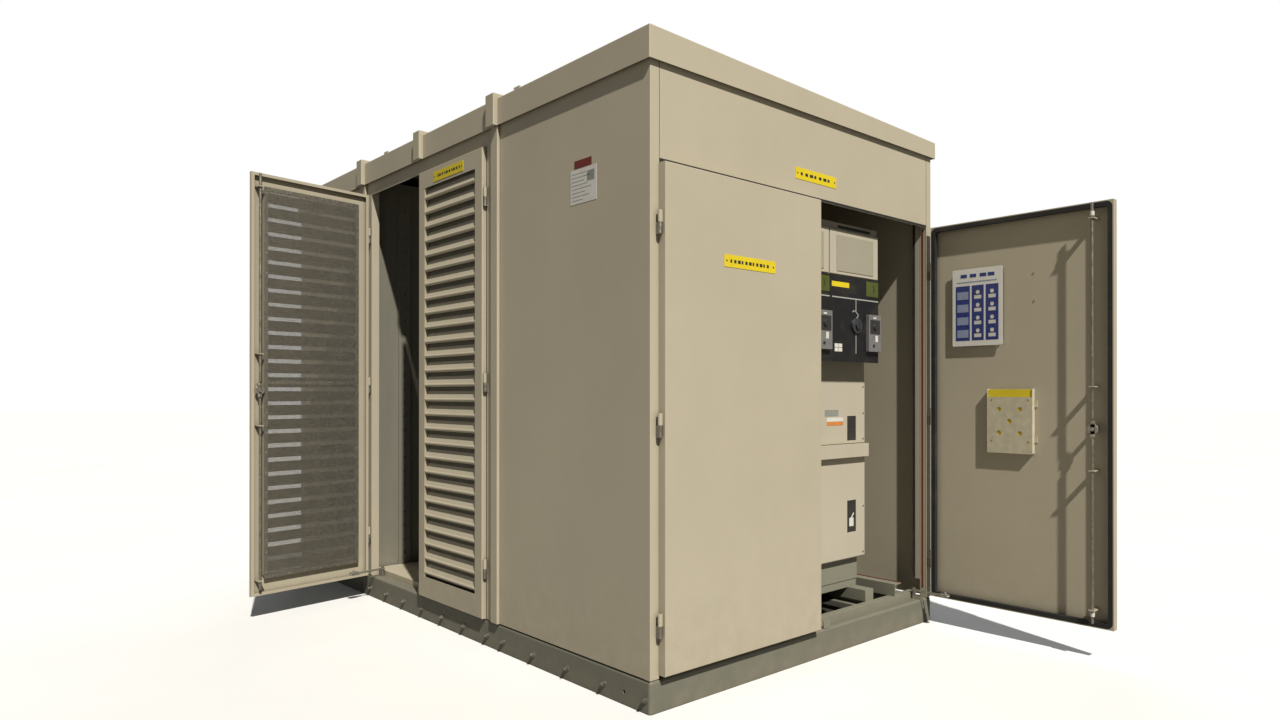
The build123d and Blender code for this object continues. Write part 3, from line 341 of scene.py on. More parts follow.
M = {
    "base_paint": powder_coat("base_paint", BASE_GREY, 0.5, 0.14, 0.5),
    "zinc_fasteners": zinc("zinc_fasteners", rgb(0.30, 0.28, 0.23), 0.5),
    "floor_paint": powder_coat("floor_paint", CREAM, 0.5, 0.3, 0.4, end_rooms=shade(BASE_GREY, 1.15)),
    "inner_paint": powder_coat("inner_paint", shade(CREAM, 0.93), 0.48, 0.4, 0.3,
                               partition=PARTITION_GREY),
    "wall_paint": powder_coat("wall_paint", CREAM, partition=PARTITION_GREY),
    "cover_paint": powder_coat("cover_paint", CREAM),
    "roof_paint": powder_coat("roof_paint", CREAM, 0.44, 0.1),
    "lug_paint": powder_coat("lug_paint", CREAM, 0.45, 0.1, 0.6),
    "rear_louvre_paint": powder_coat("rear_louvre_paint", CREAM),
    "label_yellow": printed("label_yellow", YELLOW),
    "hinge_zinc": zinc("hinge_zinc", rgb(0.33, 0.31, 0.26), 0.45),
    "plinth_grey": powder_coat("plinth_grey", shade(BASE_GREY, 1.35), 0.5, 0.25, 0.4),
    "switchgear_paint": powder_coat("switchgear_paint", shade(WARM_WHITE, 0.62), 0.5, 0.3, 0.2),
    "switchgear_cover_paint": powder_coat("switchgear_cover_paint", WARM_WHITE, 0.42, 0.3, 0.2),
    "mimic_black": moulded("mimic_black", rgb(0.012, 0.012, 0.014), 0.35),
    "shaft_steel": moulded("shaft_steel", rgb(0.035, 0.04, 0.045), 0.4),
    "tank_paint": powder_coat("tank_paint", rgb(0.20, 0.215, 0.20), 0.45, 0.4, 0.4),
    "core_steel": zinc("core_steel", rgb(0.20, 0.17, 0.13), 0.6),
    "bushing_glaze": glazed("bushing_glaze", rgb(0.16, 0.05, 0.022)),
    "knob_plastic": moulded("knob_plastic", rgb(0.03, 0.03, 0.03)),
    "valve_brass": copper("valve_brass", rgb(0.50, 0.36, 0.14)),
    "handwheel_red": powder_coat("handwheel_red", rgb(0.36, 0.03, 0.02), 0.4, 0.1, 0.4),
    "board_zinc": zinc("board_zinc", rgb(0.45, 0.45, 0.43), 0.45, 60.0),
    "busbar_copper": copper("busbar_copper", rgb(0.62, 0.30, 0.16)),
    "breaker_plastic": moulded("breaker_plastic", rgb(0.05, 0.052, 0.056)),
    "toggle_plastic": moulded("toggle_plastic", rgb(0.02, 0.02, 0.02)),
    "fuse_base_plastic": moulded("fuse_base_plastic", rgb(0.09, 0.09, 0.095)),
    "fuse_carrier_plastic": moulded("fuse_carrier_plastic", rgb(0.22, 0.22, 0.21)),
    "pocket_plastic": moulded("pocket_plastic", rgb(0.52, 0.47, 0.34), 0.4),
    "sign_white": printed("sign_white", rgb(0.74, 0.72, 0.66)),
    "gasket_rubber": moulded("gasket_rubber", rgb(0.014, 0.014, 0.013), 0.7, 500.0, 0.2),
    "mesh_zinc": zinc("mesh_zinc", rgb(0.27, 0.25, 0.205), 0.55, 200.0),
    "stay_zinc": zinc("stay_zinc", rgb(0.50, 0.48, 0.42), 0.35),
    "handle_black": moulded("handle_black", rgb(0.02, 0.02, 0.02), 0.38),
    "rod_zinc": zinc("rod_zinc", rgb(0.36, 0.34, 0.29), 0.42),
    "latch_zinc": zinc("latch_zinc", rgb(0.50, 0.48, 0.42), 0.35),
    # Stronger painted shade between the louvre blades.
    "louvre_door_paint": powder_coat("louvre_door_paint", CREAM, painted_shade_in_recesses=0.8),
    "door_paint": powder_coat("door_paint", CREAM),
}
INK_PRINT = printed("ink_print", INK, 0.4)
BLUE_PRINT = printed("blue_print", rgb(0.035, 0.05, 0.20))
PALE_BLUE_PRINT = printed("pale_blue_print", rgb(0.28, 0.32, 0.45))
RED_PRINT = printed("red_print", rgb(0.17, 0.03, 0.025))
WHITE_PRINT = printed("white_print", rgb(0.66, 0.64, 0.58))
ORANGE_PRINT = printed("orange_print", rgb(0.62, 0.22, 0.05))
GREY_PRINT = printed("grey_print", rgb(0.26, 0.27, 0.24))
OLIVE_PRINT = printed("olive_print", rgb(0.075, 0.095, 0.02), 0.2)
LINE_PRINT = printed("line_print", rgb(0.40, 0.40, 0.36))
RELAY_PAINT = powder_coat("relay_paint", shade(WARM_WHITE, 0.76), 0.42, 0.3, 0.2)
PANEL_GREY = moulded("panel_grey", rgb(0.17, 0.165, 0.165), 0.4)
SHADOW_GAP = moulded("shadow_gap", rgb(0.02, 0.018, 0.015), 0.8)


def paint_nodes():
    """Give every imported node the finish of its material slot."""
    slots = {row["node"]: row["material_slot"] for row in frame["record"]["subparts"]}
    for name, node in frame["nodes"].items():
        node.data.materials.clear()
        node.data.materials.append(M[slots[name]])


# ---------------------------------------------------------------- mesh code
class Local:
    """A flat working frame: u along, w out of the face, z up, from an origin on the face."""

    def __init__(self, origin, along, out):
        self.matrix = Matrix((
            (along.x, out.x, 0, origin.x),
            (along.y, out.y, 0, origin.y),
            (0, 0, 1, origin.z),
            (0, 0, 0, 1)))


class Piece:
    """Collects boxes, rounds, posts and strokes into one mesh object."""

    def __init__(self, local=None):
        self.bm = bmesh.new()
        self.matrix = local.matrix if local else Matrix.Identity(4)

    def box(self, u0, u1, w0, w1, z0, z1):
        centre = Matrix.Translation(((u0 + u1) / 2, (w0 + w1) / 2, (z0 + z1) / 2))
        size = Matrix.Diagonal((abs(u1 - u0), abs(w1 - w0), abs(z1 - z0), 1))
        bmesh.ops.create_cube(self.bm, size=1.0, matrix=self.matrix @ centre @ size)

    def round(self, u, z, w0, w1, radius, segments=20, top=None):
        """A disc or dome that stands out of the face."""
        turn = Matrix.Rotation(math.radians(-90), 4, "X")
        middle = Matrix.Translation((u, (w0 + w1) / 2, z))
        bmesh.ops.create_cone(self.bm, cap_ends=True, segments=segments, radius1=radius,
                              radius2=radius if top is None else top, depth=abs(w1 - w0),
                              matrix=self.matrix @ middle @ turn)

    def post(self, u, w, z0, z1, radius, segments=16):
        """An upright round bar."""
        middle = Matrix.Translation((u, w, (z0 + z1) / 2))
        bmesh.ops.create_cone(self.bm, cap_ends=True, segments=segments, radius1=radius,
                              radius2=radius, depth=abs(z1 - z0), matrix=self.matrix @ middle)

    def stroke(self, points, w0, w1, width):
        """A drawn line through (u, z) points as thin raised bars."""
        for (u0, z0), (u1, z1) in zip(points, points[1:]):
            length = math.hypot(u1 - u0, z1 - z0)
            angle = math.atan2(z1 - z0, u1 - u0)
            place = Matrix.Translation(((u0 + u1) / 2, (w0 + w1) / 2, (z0 + z1) / 2))
            turn = Matrix.Rotation(-angle, 4, "Y")
            size = Matrix.Diagonal((length + width, abs(w1 - w0), width, 1))
            bmesh.ops.create_cube(self.bm, size=1.0, matrix=self.matrix @ place @ turn @ size)

    def make(self, name, body, material, bevel=0.0, slot=None, replaces=()):
        mesh = bpy.data.meshes.new(name)
        bmesh.ops.recalc_face_normals(self.bm, faces=self.bm.faces)
        self.bm.to_mesh(mesh)
        self.bm.free()
        mesh.materials.append(material)
        made = bpy.data.objects.new(name, mesh)
        bpy.context.scene.collection.objects.link(made)
        for polygon in mesh.polygons:
            polygon.use_smooth = True
        if bevel:
            rounding = made.modifiers.new("rounding", "BEVEL")
            rounding.width = bevel
            rounding.segments = 2
            rounding.limit_method = "ANGLE"
            rounding.angle_limit = math.radians(40)
            rounding.harden_normals = True
        else:
            mesh.set_sharp_from_angle(angle=math.radians(35))
        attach(made, body)
        if replaces:
            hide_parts(*replaces)
        return made


# ---------------------------------------------------------------- cabinet and doors' own frames
JOINTS = {joint["name"]: joint for joint in frame["joints"]}
OUTWARD = {"hv": Vector((1, 0, 0)), "tx": Vector((0, -1, 0)), "lv": Vector((-1, 0, 0))}
ENDS = (("hv", 1), ("lv", -1))
SIDES = (("left", -1), ("right", 1))

BODY_HALF_WIDTH = 0.865
END_SKIN = 17 * MM          # outer face of an end leaf from its hinge axis
END_INSIDE = 14.5 * MM      # inner face of the same skin
LOUVRE_SKIN = 10 * MM       # outer face of a louvred leaf from its hinge axis


def door_local(name):
    """u from the hinge axis to the free edge, w outward, at the door's opening at rest."""
    joint = JOINTS[name + "_hinge"]
    side = joint["axis"][2]
    out = OUTWARD[name[:2]]
    along = -side * Z_AXIS.cross(out)
    turn = Matrix.Rotation(side * math.radians(-joint["range_deg"][0]), 3, "Z")
    x, y, _ = joint["pos_m"]
    return Local(Vector((x, y, 0)), turn @ along, turn @ out)


def end_local(x, end=1):
    """On a face that looks out of one end: u across, w out of the end."""
    return Local(Vector((x, 0, 0)), Vector((0, end, 0)), Vector((end, 0, 0)))


def end_wall(end):
    """On the outer face of an end wall."""
    return end_local(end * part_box("wall_panels")[1].x, end)


def rows(first, last, pitch):
    """Evenly spaced places from first to last, close to pitch apart."""
    count = max(1, round((last - first) / pitch))
    return [first + (last - first) * k / count for k in range(count + 1)]


# ---------------------------------------------------------------- plates and labels
PLATE_THICK = 1.6 * MM
DASH_THICK = 0.3 * MM
DASH_HALF_HEIGHT = 6 * MM
DASHES_FROM_END = 30 * MM
SCREW_FROM_END = 12 * MM
SCREW_RADIUS = 3.5 * MM

# A plate is its sides, its face, its lower and upper edge, and how many dashes it has.
END_DOOR_PLATE = (285 * MM, 557 * MM, END_SKIN, 1526 * MM, 1571 * MM, 11)
LOUVRE_DOOR_PLATE = (173 * MM, 458 * MM, LOUVRE_SKIN, 2052 * MM, 2098 * MM, 10)
HEADER_PLATE_SIDES = (-121 * MM, 138 * MM)
HEADER_PLATE_HEIGHT = 46 * MM
HEADER_PLATE_DASHES = 7

LABEL_WIDTH = 163 * MM
LABEL_HEIGHT = 128 * MM
LABEL_THICK = 1.0 * MM
RATING_PLATE_THICK = 1.5 * MM


def plate_with_marks(name, body, local, u0, u1, w, z0, z1, dashes):
    """Yellow plate with two screws and a row of plain dashes for its text."""
    top = w + PLATE_THICK
    plate = Piece(local)
    plate.box(u0, u1, w, top, z0, z1)
    plate.make(name, body, M["label_yellow"], 0.5 * MM, "label_yellow")
    marks = Piece(local)
    middle = (z0 + z1) / 2
    step = (u1 - u0 - 2 * DASHES_FROM_END) / dashes
    for k in range(dashes):
        left = u0 + DASHES_FROM_END + k * step
        width = step * (0.45 + 0.3 * ((k * 7) % 3) / 2)
        marks.box(left, left + width, top, top + DASH_THICK, middle - DASH_HALF_HEIGHT,
                  middle + DASH_HALF_HEIGHT)
    for u in (u0 + SCREW_FROM_END, u1 - SCREW_FROM_END):
        marks.round(u, middle, top, top + 1.5 * MM, SCREW_RADIUS, top=2.6 * MM)
    marks.make(name + "_marks", body, INK_PRINT, slot="label_yellow")


def header_plates():
    """Plates over the end doors."""
    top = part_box("label_plates")[1].z
    for room, end in ENDS:
        plate_with_marks(room + "_header_plate", "kiosk", end_wall(end), *HEADER_PLATE_SIDES, 0,
                         top - HEADER_PLATE_HEIGHT, top, HEADER_PLATE_DASHES)


def side_labels():
    """Rating plate and inspection label on the long front, with plain lines for their text."""
    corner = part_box("label_plates")[0]
    left, low = corner.x, corner.z
    side = Local(Vector((0, -BODY_HALF_WIDTH, 0)), Vector((1, 0, 0)), OUTWARD["tx"])
    rating = Piece(side)
    rating.box(left + 26 * MM, left + 132 * MM, 0, RATING_PLATE_THICK, low + 131 * MM, low + 160 * MM)
    rating.make("rating_plate", "kiosk", RED_PRINT, 0.4 * MM, "label_yellow", ["label_plates"])
    sheet = Piece(side)
    sheet.box(left, left + LABEL_WIDTH, 0, LABEL_THICK, low, low + LABEL_HEIGHT)
    sheet.make("inspection_label", "kiosk", WHITE_PRINT, 0.4 * MM, "label_yellow")
    lines = Piece(side)
    ink = LABEL_THICK + 0.2 * MM
    for k, z in enumerate(rows(low + 12 * MM, low + 110 * MM, 14 * MM)):
        right = left + (80 + (k * 37) % 60) * MM
        lines.box(left + 10 * MM, right, LABEL_THICK, ink, z, z + 2.5 * MM)
    lines.box(left + 105 * MM, left + 150 * MM, LABEL_THICK, ink, low + 75 * MM, low + 112 * MM)
    lines.make("inspection_label_lines", "kiosk", GREY_PRINT, slot="label_yellow")


def door_plates():
    """Yellow plates on the outside of the doors."""
    for name, plate in (("hv_left", END_DOOR_PLATE), ("lv_left", END_DOOR_PLATE),
                        ("tx_right", LOUVRE_DOOR_PLATE), ("tx_left", LOUVRE_DOOR_PLATE)):
        plate_with_marks(name + "_plate", name + "_door", door_local(name), *plate)


# ---------------------------------------------------------------- louvred doors' mesh
SCREEN_SIDES = (67 * MM, 553 * MM)
SCREEN_ENDS = (193 * MM, 2060 * MM)
SCREEN_PLANE = -12 * MM             # where the two layers of wire meet
WIRE_PITCH = 3.4 * MM
WIRE_HALF = 0.7 * MM
WIRES_FROM_EDGE = 10 * MM
WIRE_ENDS_FROM_EDGE = 8 * MM
STRIP = 18 * MM
STRIP_TOP = SCREEN_PLANE + 1 * MM
STRIP_UNDER = SCREEN_PLANE - 2.2 * MM


def screen_wires(name, local):
    (u0, u1), (z0, z1) = SCREEN_SIDES, SCREEN_ENDS
    wires = Piece(local)
    for u in rows(u0 + WIRES_FROM_EDGE, u1 - WIRES_FROM_EDGE, WIRE_PITCH):
        wires.box(u - WIRE_HALF, u + WIRE_HALF, SCREEN_PLANE - 2 * WIRE_HALF, SCREEN_PLANE,
                  z0 + WIRE_ENDS_FROM_EDGE, z1 - WIRE_ENDS_FROM_EDGE)
    for z in rows(z0 + WIRES_FROM_EDGE, z1 - WIRES_FROM_EDGE, WIRE_PITCH):
        wires.box(u0 + WIRE_ENDS_FROM_EDGE, u1 - WIRE_ENDS_FROM_EDGE, SCREEN_PLANE - 1.5 * WIRE_HALF,
                  SCREEN_PLANE + WIRE_HALF, z - WIRE_HALF, z + WIRE_HALF)
    wires.make(name + "_wire_screen", name + "_door", M["mesh_zinc"], slot="mesh_zinc",
               replaces=[name + "_mesh"])


def screen_strips(name, local):
    """Flat strips around the wires and across their middle."""
    (u0, u1), (z0, z1) = SCREEN_SIDES, SCREEN_ENDS
    strips = Piece(local)
    for low in (z0, (z0 + z1) / 2 - STRIP / 2, z1 - STRIP):
        strips.box(u0 + STRIP, u1 - STRIP, STRIP_UNDER, STRIP_TOP, low, low + STRIP)
    for left in (u0, u1 - STRIP):
        strips.box(left, left + STRIP, STRIP_UNDER, STRIP_TOP, z0, z1)
    strips.make(name + "_screen_strips", name + "_door", M["mesh_zinc"], 0.5 * MM, "mesh_zinc")


def screen_rivets(name, local):
    """Rivets along the strips: up the sides, then across the foot, middle and top."""
    (u0, u1), (z0, z1) = SCREEN_SIDES, SCREEN_ENDS
    places = [(u, z) for z in rows(z0 + 30 * MM, z1 - 30 * MM, 95 * MM)
              for u in (u0 + STRIP / 2, u1 - STRIP / 2)]
    places += [(u, z) for u in rows(u0 + 40 * MM, u1 - 40 * MM, 80 * MM)
               for z in (z0 + STRIP / 2, (z0 + z1) / 2, z1 - STRIP / 2)]
    rivets = Piece(local)
    for u, z in places:
        rivets.round(u, z, STRIP_UNDER, STRIP_UNDER - 1.3 * MM, 4 * MM, 12, 2.4 * MM)
    rivets.make(name + "_screen_rivets", name + "_door", M["latch_zinc"], slot="latch_zinc")


def screen(name):
    """Woven wire screen in its riveted frame, behind the louvre blades."""
    local = door_local(name)
    screen_wires(name, local)
    screen_strips(name, local)
    screen_rivets(name, local)


# ---------------------------------------------------------------- switchgear front
BAY_LEFT = -188 * MM                # sides of a bay from its shaft
BAY_RIGHT = 164 * MM
PRINT_THICK = 0.8 * MM              # how far a printed mark stands out
BUS_LINE = (1488 * MM, 1493 * MM)
DIAGRAM_FOOT = 1250 * MM
LINE_HALF = 2 * MM
WINDOW_FACE = 2.5 * MM
STICKER_SIZE = (25 * MM, 16 * MM)
STICKER_STEP = (27 * MM, 18 * MM)
PANEL_FACE = 19.2 * MM
COVER_FACE = 3 * MM                 # front of the cable covers from the covers' rear
COVER_SCREW_HEIGHTS = (868, 985, 1106, 350, 560, 770)
COVER_SLOTS = ((862, 973), (448, 592))
SLOT_FLOOR = -2.2 * MM


def bays():
    """Each bay's shaft, as its y and z, and the y of the bay's right side."""
    for shaft in ("left", "middle", "right"):
        low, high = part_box("switchgear_shaft_" + shaft)
        y, z = (low.y + high.y) / 2, (low.z + high.z) / 2
        yield y, z, y + BAY_RIGHT


def diagram():
    """Lines, status windows, labels and stickers on the black diagram panel."""
    face = end_local(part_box("switchgear_mimic_panel")[1].x)
    lines, windows, window_marks = Piece(face), Piece(face), Piece(face)
    labels, stickers = Piece(face), Piece(face)
    for y, z, edge in bays():
        lines.box(y - 170 * MM, edge + 4 * MM, 0, PRINT_THICK, *BUS_LINE)
        lines.box(y - LINE_HALF, y + LINE_HALF, 0, PRINT_THICK, z + 62 * MM, BUS_LINE[0])
        lines.box(y - LINE_HALF, y + LINE_HALF, 0, PRINT_THICK, DIAGRAM_FOOT, z - 36 * MM)
        lines.stroke([(y + 4 * MM, z + 34 * MM), (y + 20 * MM, z + 46 * MM), (y - 10 * MM, z + 68 * MM),
                      (y - 24 * MM, z + 60 * MM)], 0, 0.9 * MM, 2 * LINE_HALF)
        windows.box(edge - 90 * MM, edge + 1 * MM, 0, WINDOW_FACE, 1509 * MM, 1576 * MM)
        window_marks.stroke([(edge - 38 * MM, 1526 * MM), (edge - 30 * MM, 1540 * MM),
                             (edge - 38 * MM, 1558 * MM)], WINDOW_FACE, 3 * MM, 5 * MM)
        labels.box(y - 172 * MM, y - 50 * MM, 0, 1.2 * MM, 1535 * MM, 1557 * MM)
        for column in range(2):
            for row in range(2):
                left = y - 152 * MM + column * STICKER_STEP[0]
                low = 1256 * MM + row * STICKER_STEP[1]
                stickers.box(left, left + STICKER_SIZE[0], 0, PRINT_THICK, low, low + STICKER_SIZE[1])
    lines.make("diagram_lines", "kiosk", LINE_PRINT, slot="mimic_black")
    windows.make("status_windows", "kiosk", OLIVE_PRINT, 0.6 * MM, "mimic_black")
    window_marks.make("status_window_marks", "kiosk", INK_PRINT, slot="mimic_black")
    labels.make("diagram_labels", "kiosk", M["label_yellow"], 0.3 * MM, "label_yellow")
    stickers.make("diagram_stickers", "kiosk", WHITE_PRINT, slot="sign_white")


def relay_boxes():
    """Face plates of the boxes above the diagram, and near-black sheets of painted shade for their slots."""
    face = end_local(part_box("switchgear_body")[1].x)
    plates, slots = Piece(face), Piece(face)
    for y, _, _ in bays():
        plates.box(y - 143 * MM, y + 123 * MM, 8 * MM, 10.5 * MM, 1602 * MM, 1758 * MM)
        # Painted shade: a near-black sheet stands for each slot's dark opening.
        slots.box(y - 125 * MM, y + 110 * MM, -1 * MM, 0.6 * MM, 1790 * MM, 1802 * MM)
    plates.make("relay_face_plates", "kiosk", RELAY_PAINT, 1.2 * MM, "switchgear_cover_paint")
    slots.make("relay_slots", "kiosk", SHADOW_GAP, slot="mimic_black")


def operating_panels():
    """Shroud, knobs and marks of the operating panel at each bay's right side."""
    face = end_local(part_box("switchgear_mimic_panel")[1].x)
    shrouds, knobs, marks = Piece(face), Piece(face), Piece(face)
    for _, _, edge in bays():
        shrouds.box(edge - 91 * MM, edge + 1 * MM, 0, PANEL_FACE, 1261 * MM, 1426 * MM)
        knobs.round(edge - 50 * MM, 1372 * MM, PANEL_FACE, 27 * MM, 15 * MM, 24, 12 * MM)
        knobs.round(edge - 56 * MM, 1288 * MM, PANEL_FACE, 22 * MM, 7 * MM)
        knobs.box(edge - 84 * MM, edge - 8 * MM, PANEL_FACE, PANEL_FACE + 0.6 * MM, 1340 * MM, 1404 * MM)
        for left, right, low, high in ((-44, -26, 1306, 1334), (-60, -38, 1409, 1416)):
            marks.box(edge + left * MM, edge + right * MM, PANEL_FACE, PANEL_FACE + PRINT_THICK, low * MM,
                      high * MM)
    shrouds.make("operator_panel_shrouds", "kiosk", PANEL_GREY, 2 * MM, "knob_plastic")
    knobs.make("panel_knobs", "kiosk", M["knob_plastic"], 1 * MM, "knob_plastic")
    marks.make("panel_marks", "kiosk", WHITE_PRINT, slot="sign_white")


def cable_covers():
    """Labels, screws, slots with near-black sheets of painted shade on their floors, and the slots' inserts on the
    cable covers.
    """
    face = end_local(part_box("switchgear_covers")[0].x + COVER_FACE)
    grey_labels, white_labels, orange_labels = Piece(face), Piece(face), Piece(face)
    screws, slots, inserts = Piece(face), Piece(face), Piece(face)
    for y, _, edge in bays():
        grey_labels.box(y - 130 * MM, y - 34 * MM, 0, PRINT_THICK, 974 * MM, 1002 * MM)
        white_labels.box(y - 116 * MM, y, 0, PRINT_THICK, 950 * MM, 967 * MM)
        orange_labels.box(y - 116 * MM, y, 0, 0.9 * MM, 933 * MM, 949.5 * MM)
        for u in (y + BAY_LEFT + 14 * MM, edge - 14 * MM):
            for height in COVER_SCREW_HEIGHTS:
                screws.round(u, height * MM, 0, 3 * MM, 5.5 * MM, 16, 4 * MM)
        # Painted shade: a near-black sheet on each slot's floor.
        for low, high in COVER_SLOTS:
            slots.box(edge - 133 * MM, edge - 67 * MM, SLOT_FLOOR - 0.6 * MM, SLOT_FLOOR, low * MM,
                      high * MM)
        inserts.box(edge - 116 * MM, edge - 84 * MM, SLOT_FLOOR, -0.5 * MM, 474 * MM, 512 * MM)
        inserts.stroke([(edge - 100 * MM, 512 * MM), (edge - 84 * MM, 530 * MM)], SLOT_FLOOR,
                       -1 * MM, 7 * MM)
    grey_labels.make("cable_cover_labels_grey", "kiosk", GREY_PRINT, slot="sign_white")
    white_labels.make("cable_cover_labels_white", "kiosk", WHITE_PRINT, slot="sign_white")
    orange_labels.make("cable_cover_labels_orange", "kiosk", ORANGE_PRINT, slot="sign_white")
    screws.make("cable_cover_screws", "kiosk", M["latch_zinc"], slot="latch_zinc")
    slots.make("cable_cover_slots", "kiosk", SHADOW_GAP, slot="mimic_black")
    inserts.make("cable_cover_inserts", "kiosk", WHITE_PRINT, 0.6 * MM, "sign_white")


# ---------------------------------------------------------------- inside the open end door
SIGN_SIDES = (114 * MM, 356 * MM)
SIGN_ENDS = (1290 * MM, 1640 * MM)
SIGN_FACE = END_INSIDE - 15 * MM
SIGN_INK = SIGN_FACE - 0.5 * MM
SIGN_FIGURE = SIGN_FACE - 0.8 * MM
SIGN_COLUMNS = ((0.07, 0.36), (0.40, 0.64), (0.68, 0.93))     # shares of the sign's width
SIGN_TITLE_WORDS = (0.17, 0.36, 0.56, 0.72)
SIGN_ROWS = 4


def safety_sign():
    """Plain blue picture blocks in place of the sign's text and drawings."""
    local = door_local("hv_right")
    body = "hv_right_door"
    (u0, u1), (z0, z1) = SIGN_SIDES, SIGN_ENDS
    width, height = u1 - u0, z1 - z0
    blocks, pale, white = Piece(local), Piece(local), Piece(local)
    for column, (left, right) in enumerate(SIGN_COLUMNS):
        blocks.box(u0 + left * width, u0 + right * width, SIGN_INK, SIGN_FACE, z0 + 0.07 * height,
                   z0 + 0.78 * height)
        middle = u0 + (left + right) / 2 * width
        for row in range(SIGN_ROWS):
            low = z0 + (0.11 + 0.165 * row) * height
            if column == 0:
                pale.box(u0 + (left + 0.03) * width, u0 + (right - 0.03) * width, SIGN_FIGURE,
                         SIGN_INK, low, low + 0.1 * height)
            else:
                white.round(middle, low + 0.085 * height, SIGN_INK, SIGN_FIGURE, 9 * MM)
                white.box(middle - 17 * MM, middle + 17 * MM, SIGN_FIGURE, SIGN_INK, low,
                          low + 0.045 * height)
    for left in SIGN_TITLE_WORDS:
        blocks.box(u0 + left * width, u0 + (left + 0.13) * width, SIGN_INK, SIGN_FACE,
                   z0 + 0.885 * height, z0 + 0.93 * height)
    pale.box(u0 + 0.1 * width, u0 + 0.9 * width, SIGN_INK, SIGN_FACE, z0 + 0.82 * height,
             z0 + 0.835 * height)
    blocks.make("sign_blocks", body, BLUE_PRINT, slot="sign_white")
    pale.make("sign_pale_blocks", body, PALE_BLUE_PRINT, slot="sign_white")
    white.make("sign_figures", body, WHITE_PRINT, slot="sign_white")


def pocket_card():
    """Yellow card in the document pocket."""
    low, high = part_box("document_pocket")
    card = Piece()
    card.box(low.x + 4 * MM, low.x + 204 * MM, low.y + 3.5 * MM, low.y + 6.5 * MM, low.z + 6 * MM,
             high.z - 3 * MM)
    card.make("pocket_card", "hv_right_door", M["label_yellow"], 0.5 * MM, "label_yellow")


def leaf_studs():
    """Weld studs inside the open end door."""
    studs = Piece(door_local("hv_right"))
    for u, z in ((492, 1592), (494, 1472)):
        studs.round(u * MM, z * MM, END_INSIDE, END_INSIDE - 2 * MM, 4 * MM, 16, 3 * MM)
    studs.make("leaf_studs", "hv_right_door", M["rod_zinc"], slot="rod_zinc")


# ---------------------------------------------------------------- locks and stays
# Each lock's turning axis: u, the crank's outer face as w, and z.
LOCKS = {
    "hv_right": (757 * MM, -23.1 * MM, 930 * MM),
    "lv_right": (757 * MM, -23.1 * MM, 930 * MM),
    "tx_left": (577 * MM, -16.1 * MM, 1090 * MM),
}
CRANK_THICK = 7.0 * MM
CRANK_PIN_REACH = 27 * MM
ROLLER_HEIGHTS = (("upper", 1800 * MM), ("lower", 184 * MM))
ROLLER_HALF = 9 * MM
CLASP_REACH = 86 * MM               # from the middle of a stay to its clasp


def lock_cranks():
    """Plated crank plates and rod pins on the inner end of each lock."""
    for name, (u, w, z) in LOCKS.items():
        crank = Piece(door_local(name))
        back = w - CRANK_THICK
        crank.round(u, z, w, back, 21.5 * MM, 32)
        crank.box(u - 9.5 * MM, u + 9.5 * MM, w, back, z - 35 * MM, z + 35 * MM)
        crank.round(u, z, back, back - 5 * MM, 9 * MM, 6)
        for pin_z in (z - CRANK_PIN_REACH, z + CRANK_PIN_REACH):
            crank.round(u, pin_z, back, back - 4 * MM, 5 * MM, 16, 4 * MM)
        crank.make(name + "_crank", name + "_handle_body", M["latch_zinc"], 0.8 * MM, "latch_zinc")


def stay_clasps():
    """Bright clasps at the free ends of the two door stays."""
    for name in ("hv_right", "tx_left"):
        low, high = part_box(name + "_stay")
        middle = (low + high) / 2
        along = door_local(name).matrix.to_3x3() @ Vector((1, 0, 0))
        clasp = Piece(Local(Vector((middle.x, middle.y, 0)), along, Z_AXIS.cross(along)))
        clasp.box(CLASP_REACH - 34 * MM, CLASP_REACH + 8 * MM, -15 * MM, 15 * MM, low.z - 3 * MM,
                  high.z + 5 * MM)
        clasp.post(CLASP_REACH - 8 * MM, 0, low.z - 4 * MM, high.z + 14 * MM, 6 * MM)
        clasp.box(CLASP_REACH - 60 * MM, CLASP_REACH - 30 * MM, -5 * MM, 5 * MM, low.z - 1 * MM,
                  high.z + 1 * MM)
        clasp.make(name + "_stay_clasp", name + "_stay_body", M["stay_zinc"], 1.5 * MM, "stay_zinc")


def rod_rollers():
    """White rollers on the ends of the end doors' rods."""
    for name in ("hv_right", "lv_right"):
        u = LOCKS[name][0]
        for end, z in ROLLER_HEIGHTS:
            roller = Piece(door_local(name))
            roller.post(u, -32 * MM, z - ROLLER_HALF, z + ROLLER_HALF, 9 * MM, 24)
            roller.make(name + "_roller_" + end, name + "_rod_" + end + "_body", WHITE_PRINT, 1 * MM,
                        "sign_white")


# ---------------------------------------------------------------- end doorways and seams
REVEAL_ENDS = (196 * MM, 1990 * MM)
TRIM_ENDS = (200 * MM, 1986 * MM)
SEAL_LINE_ENDS = (160 * MM, 1850 * MM)
WALL_SEAM = (824.2 * MM, 826 * MM)      # across, from the cabinet's middle

# The near-black strip of painted shade in a seam: its rear, its face, its foot and its top.
SEAM_SHADE_STRIP = ((-0.5, 0.3, 1868, 2200), (0.3, 0.5, 1900, 2190))


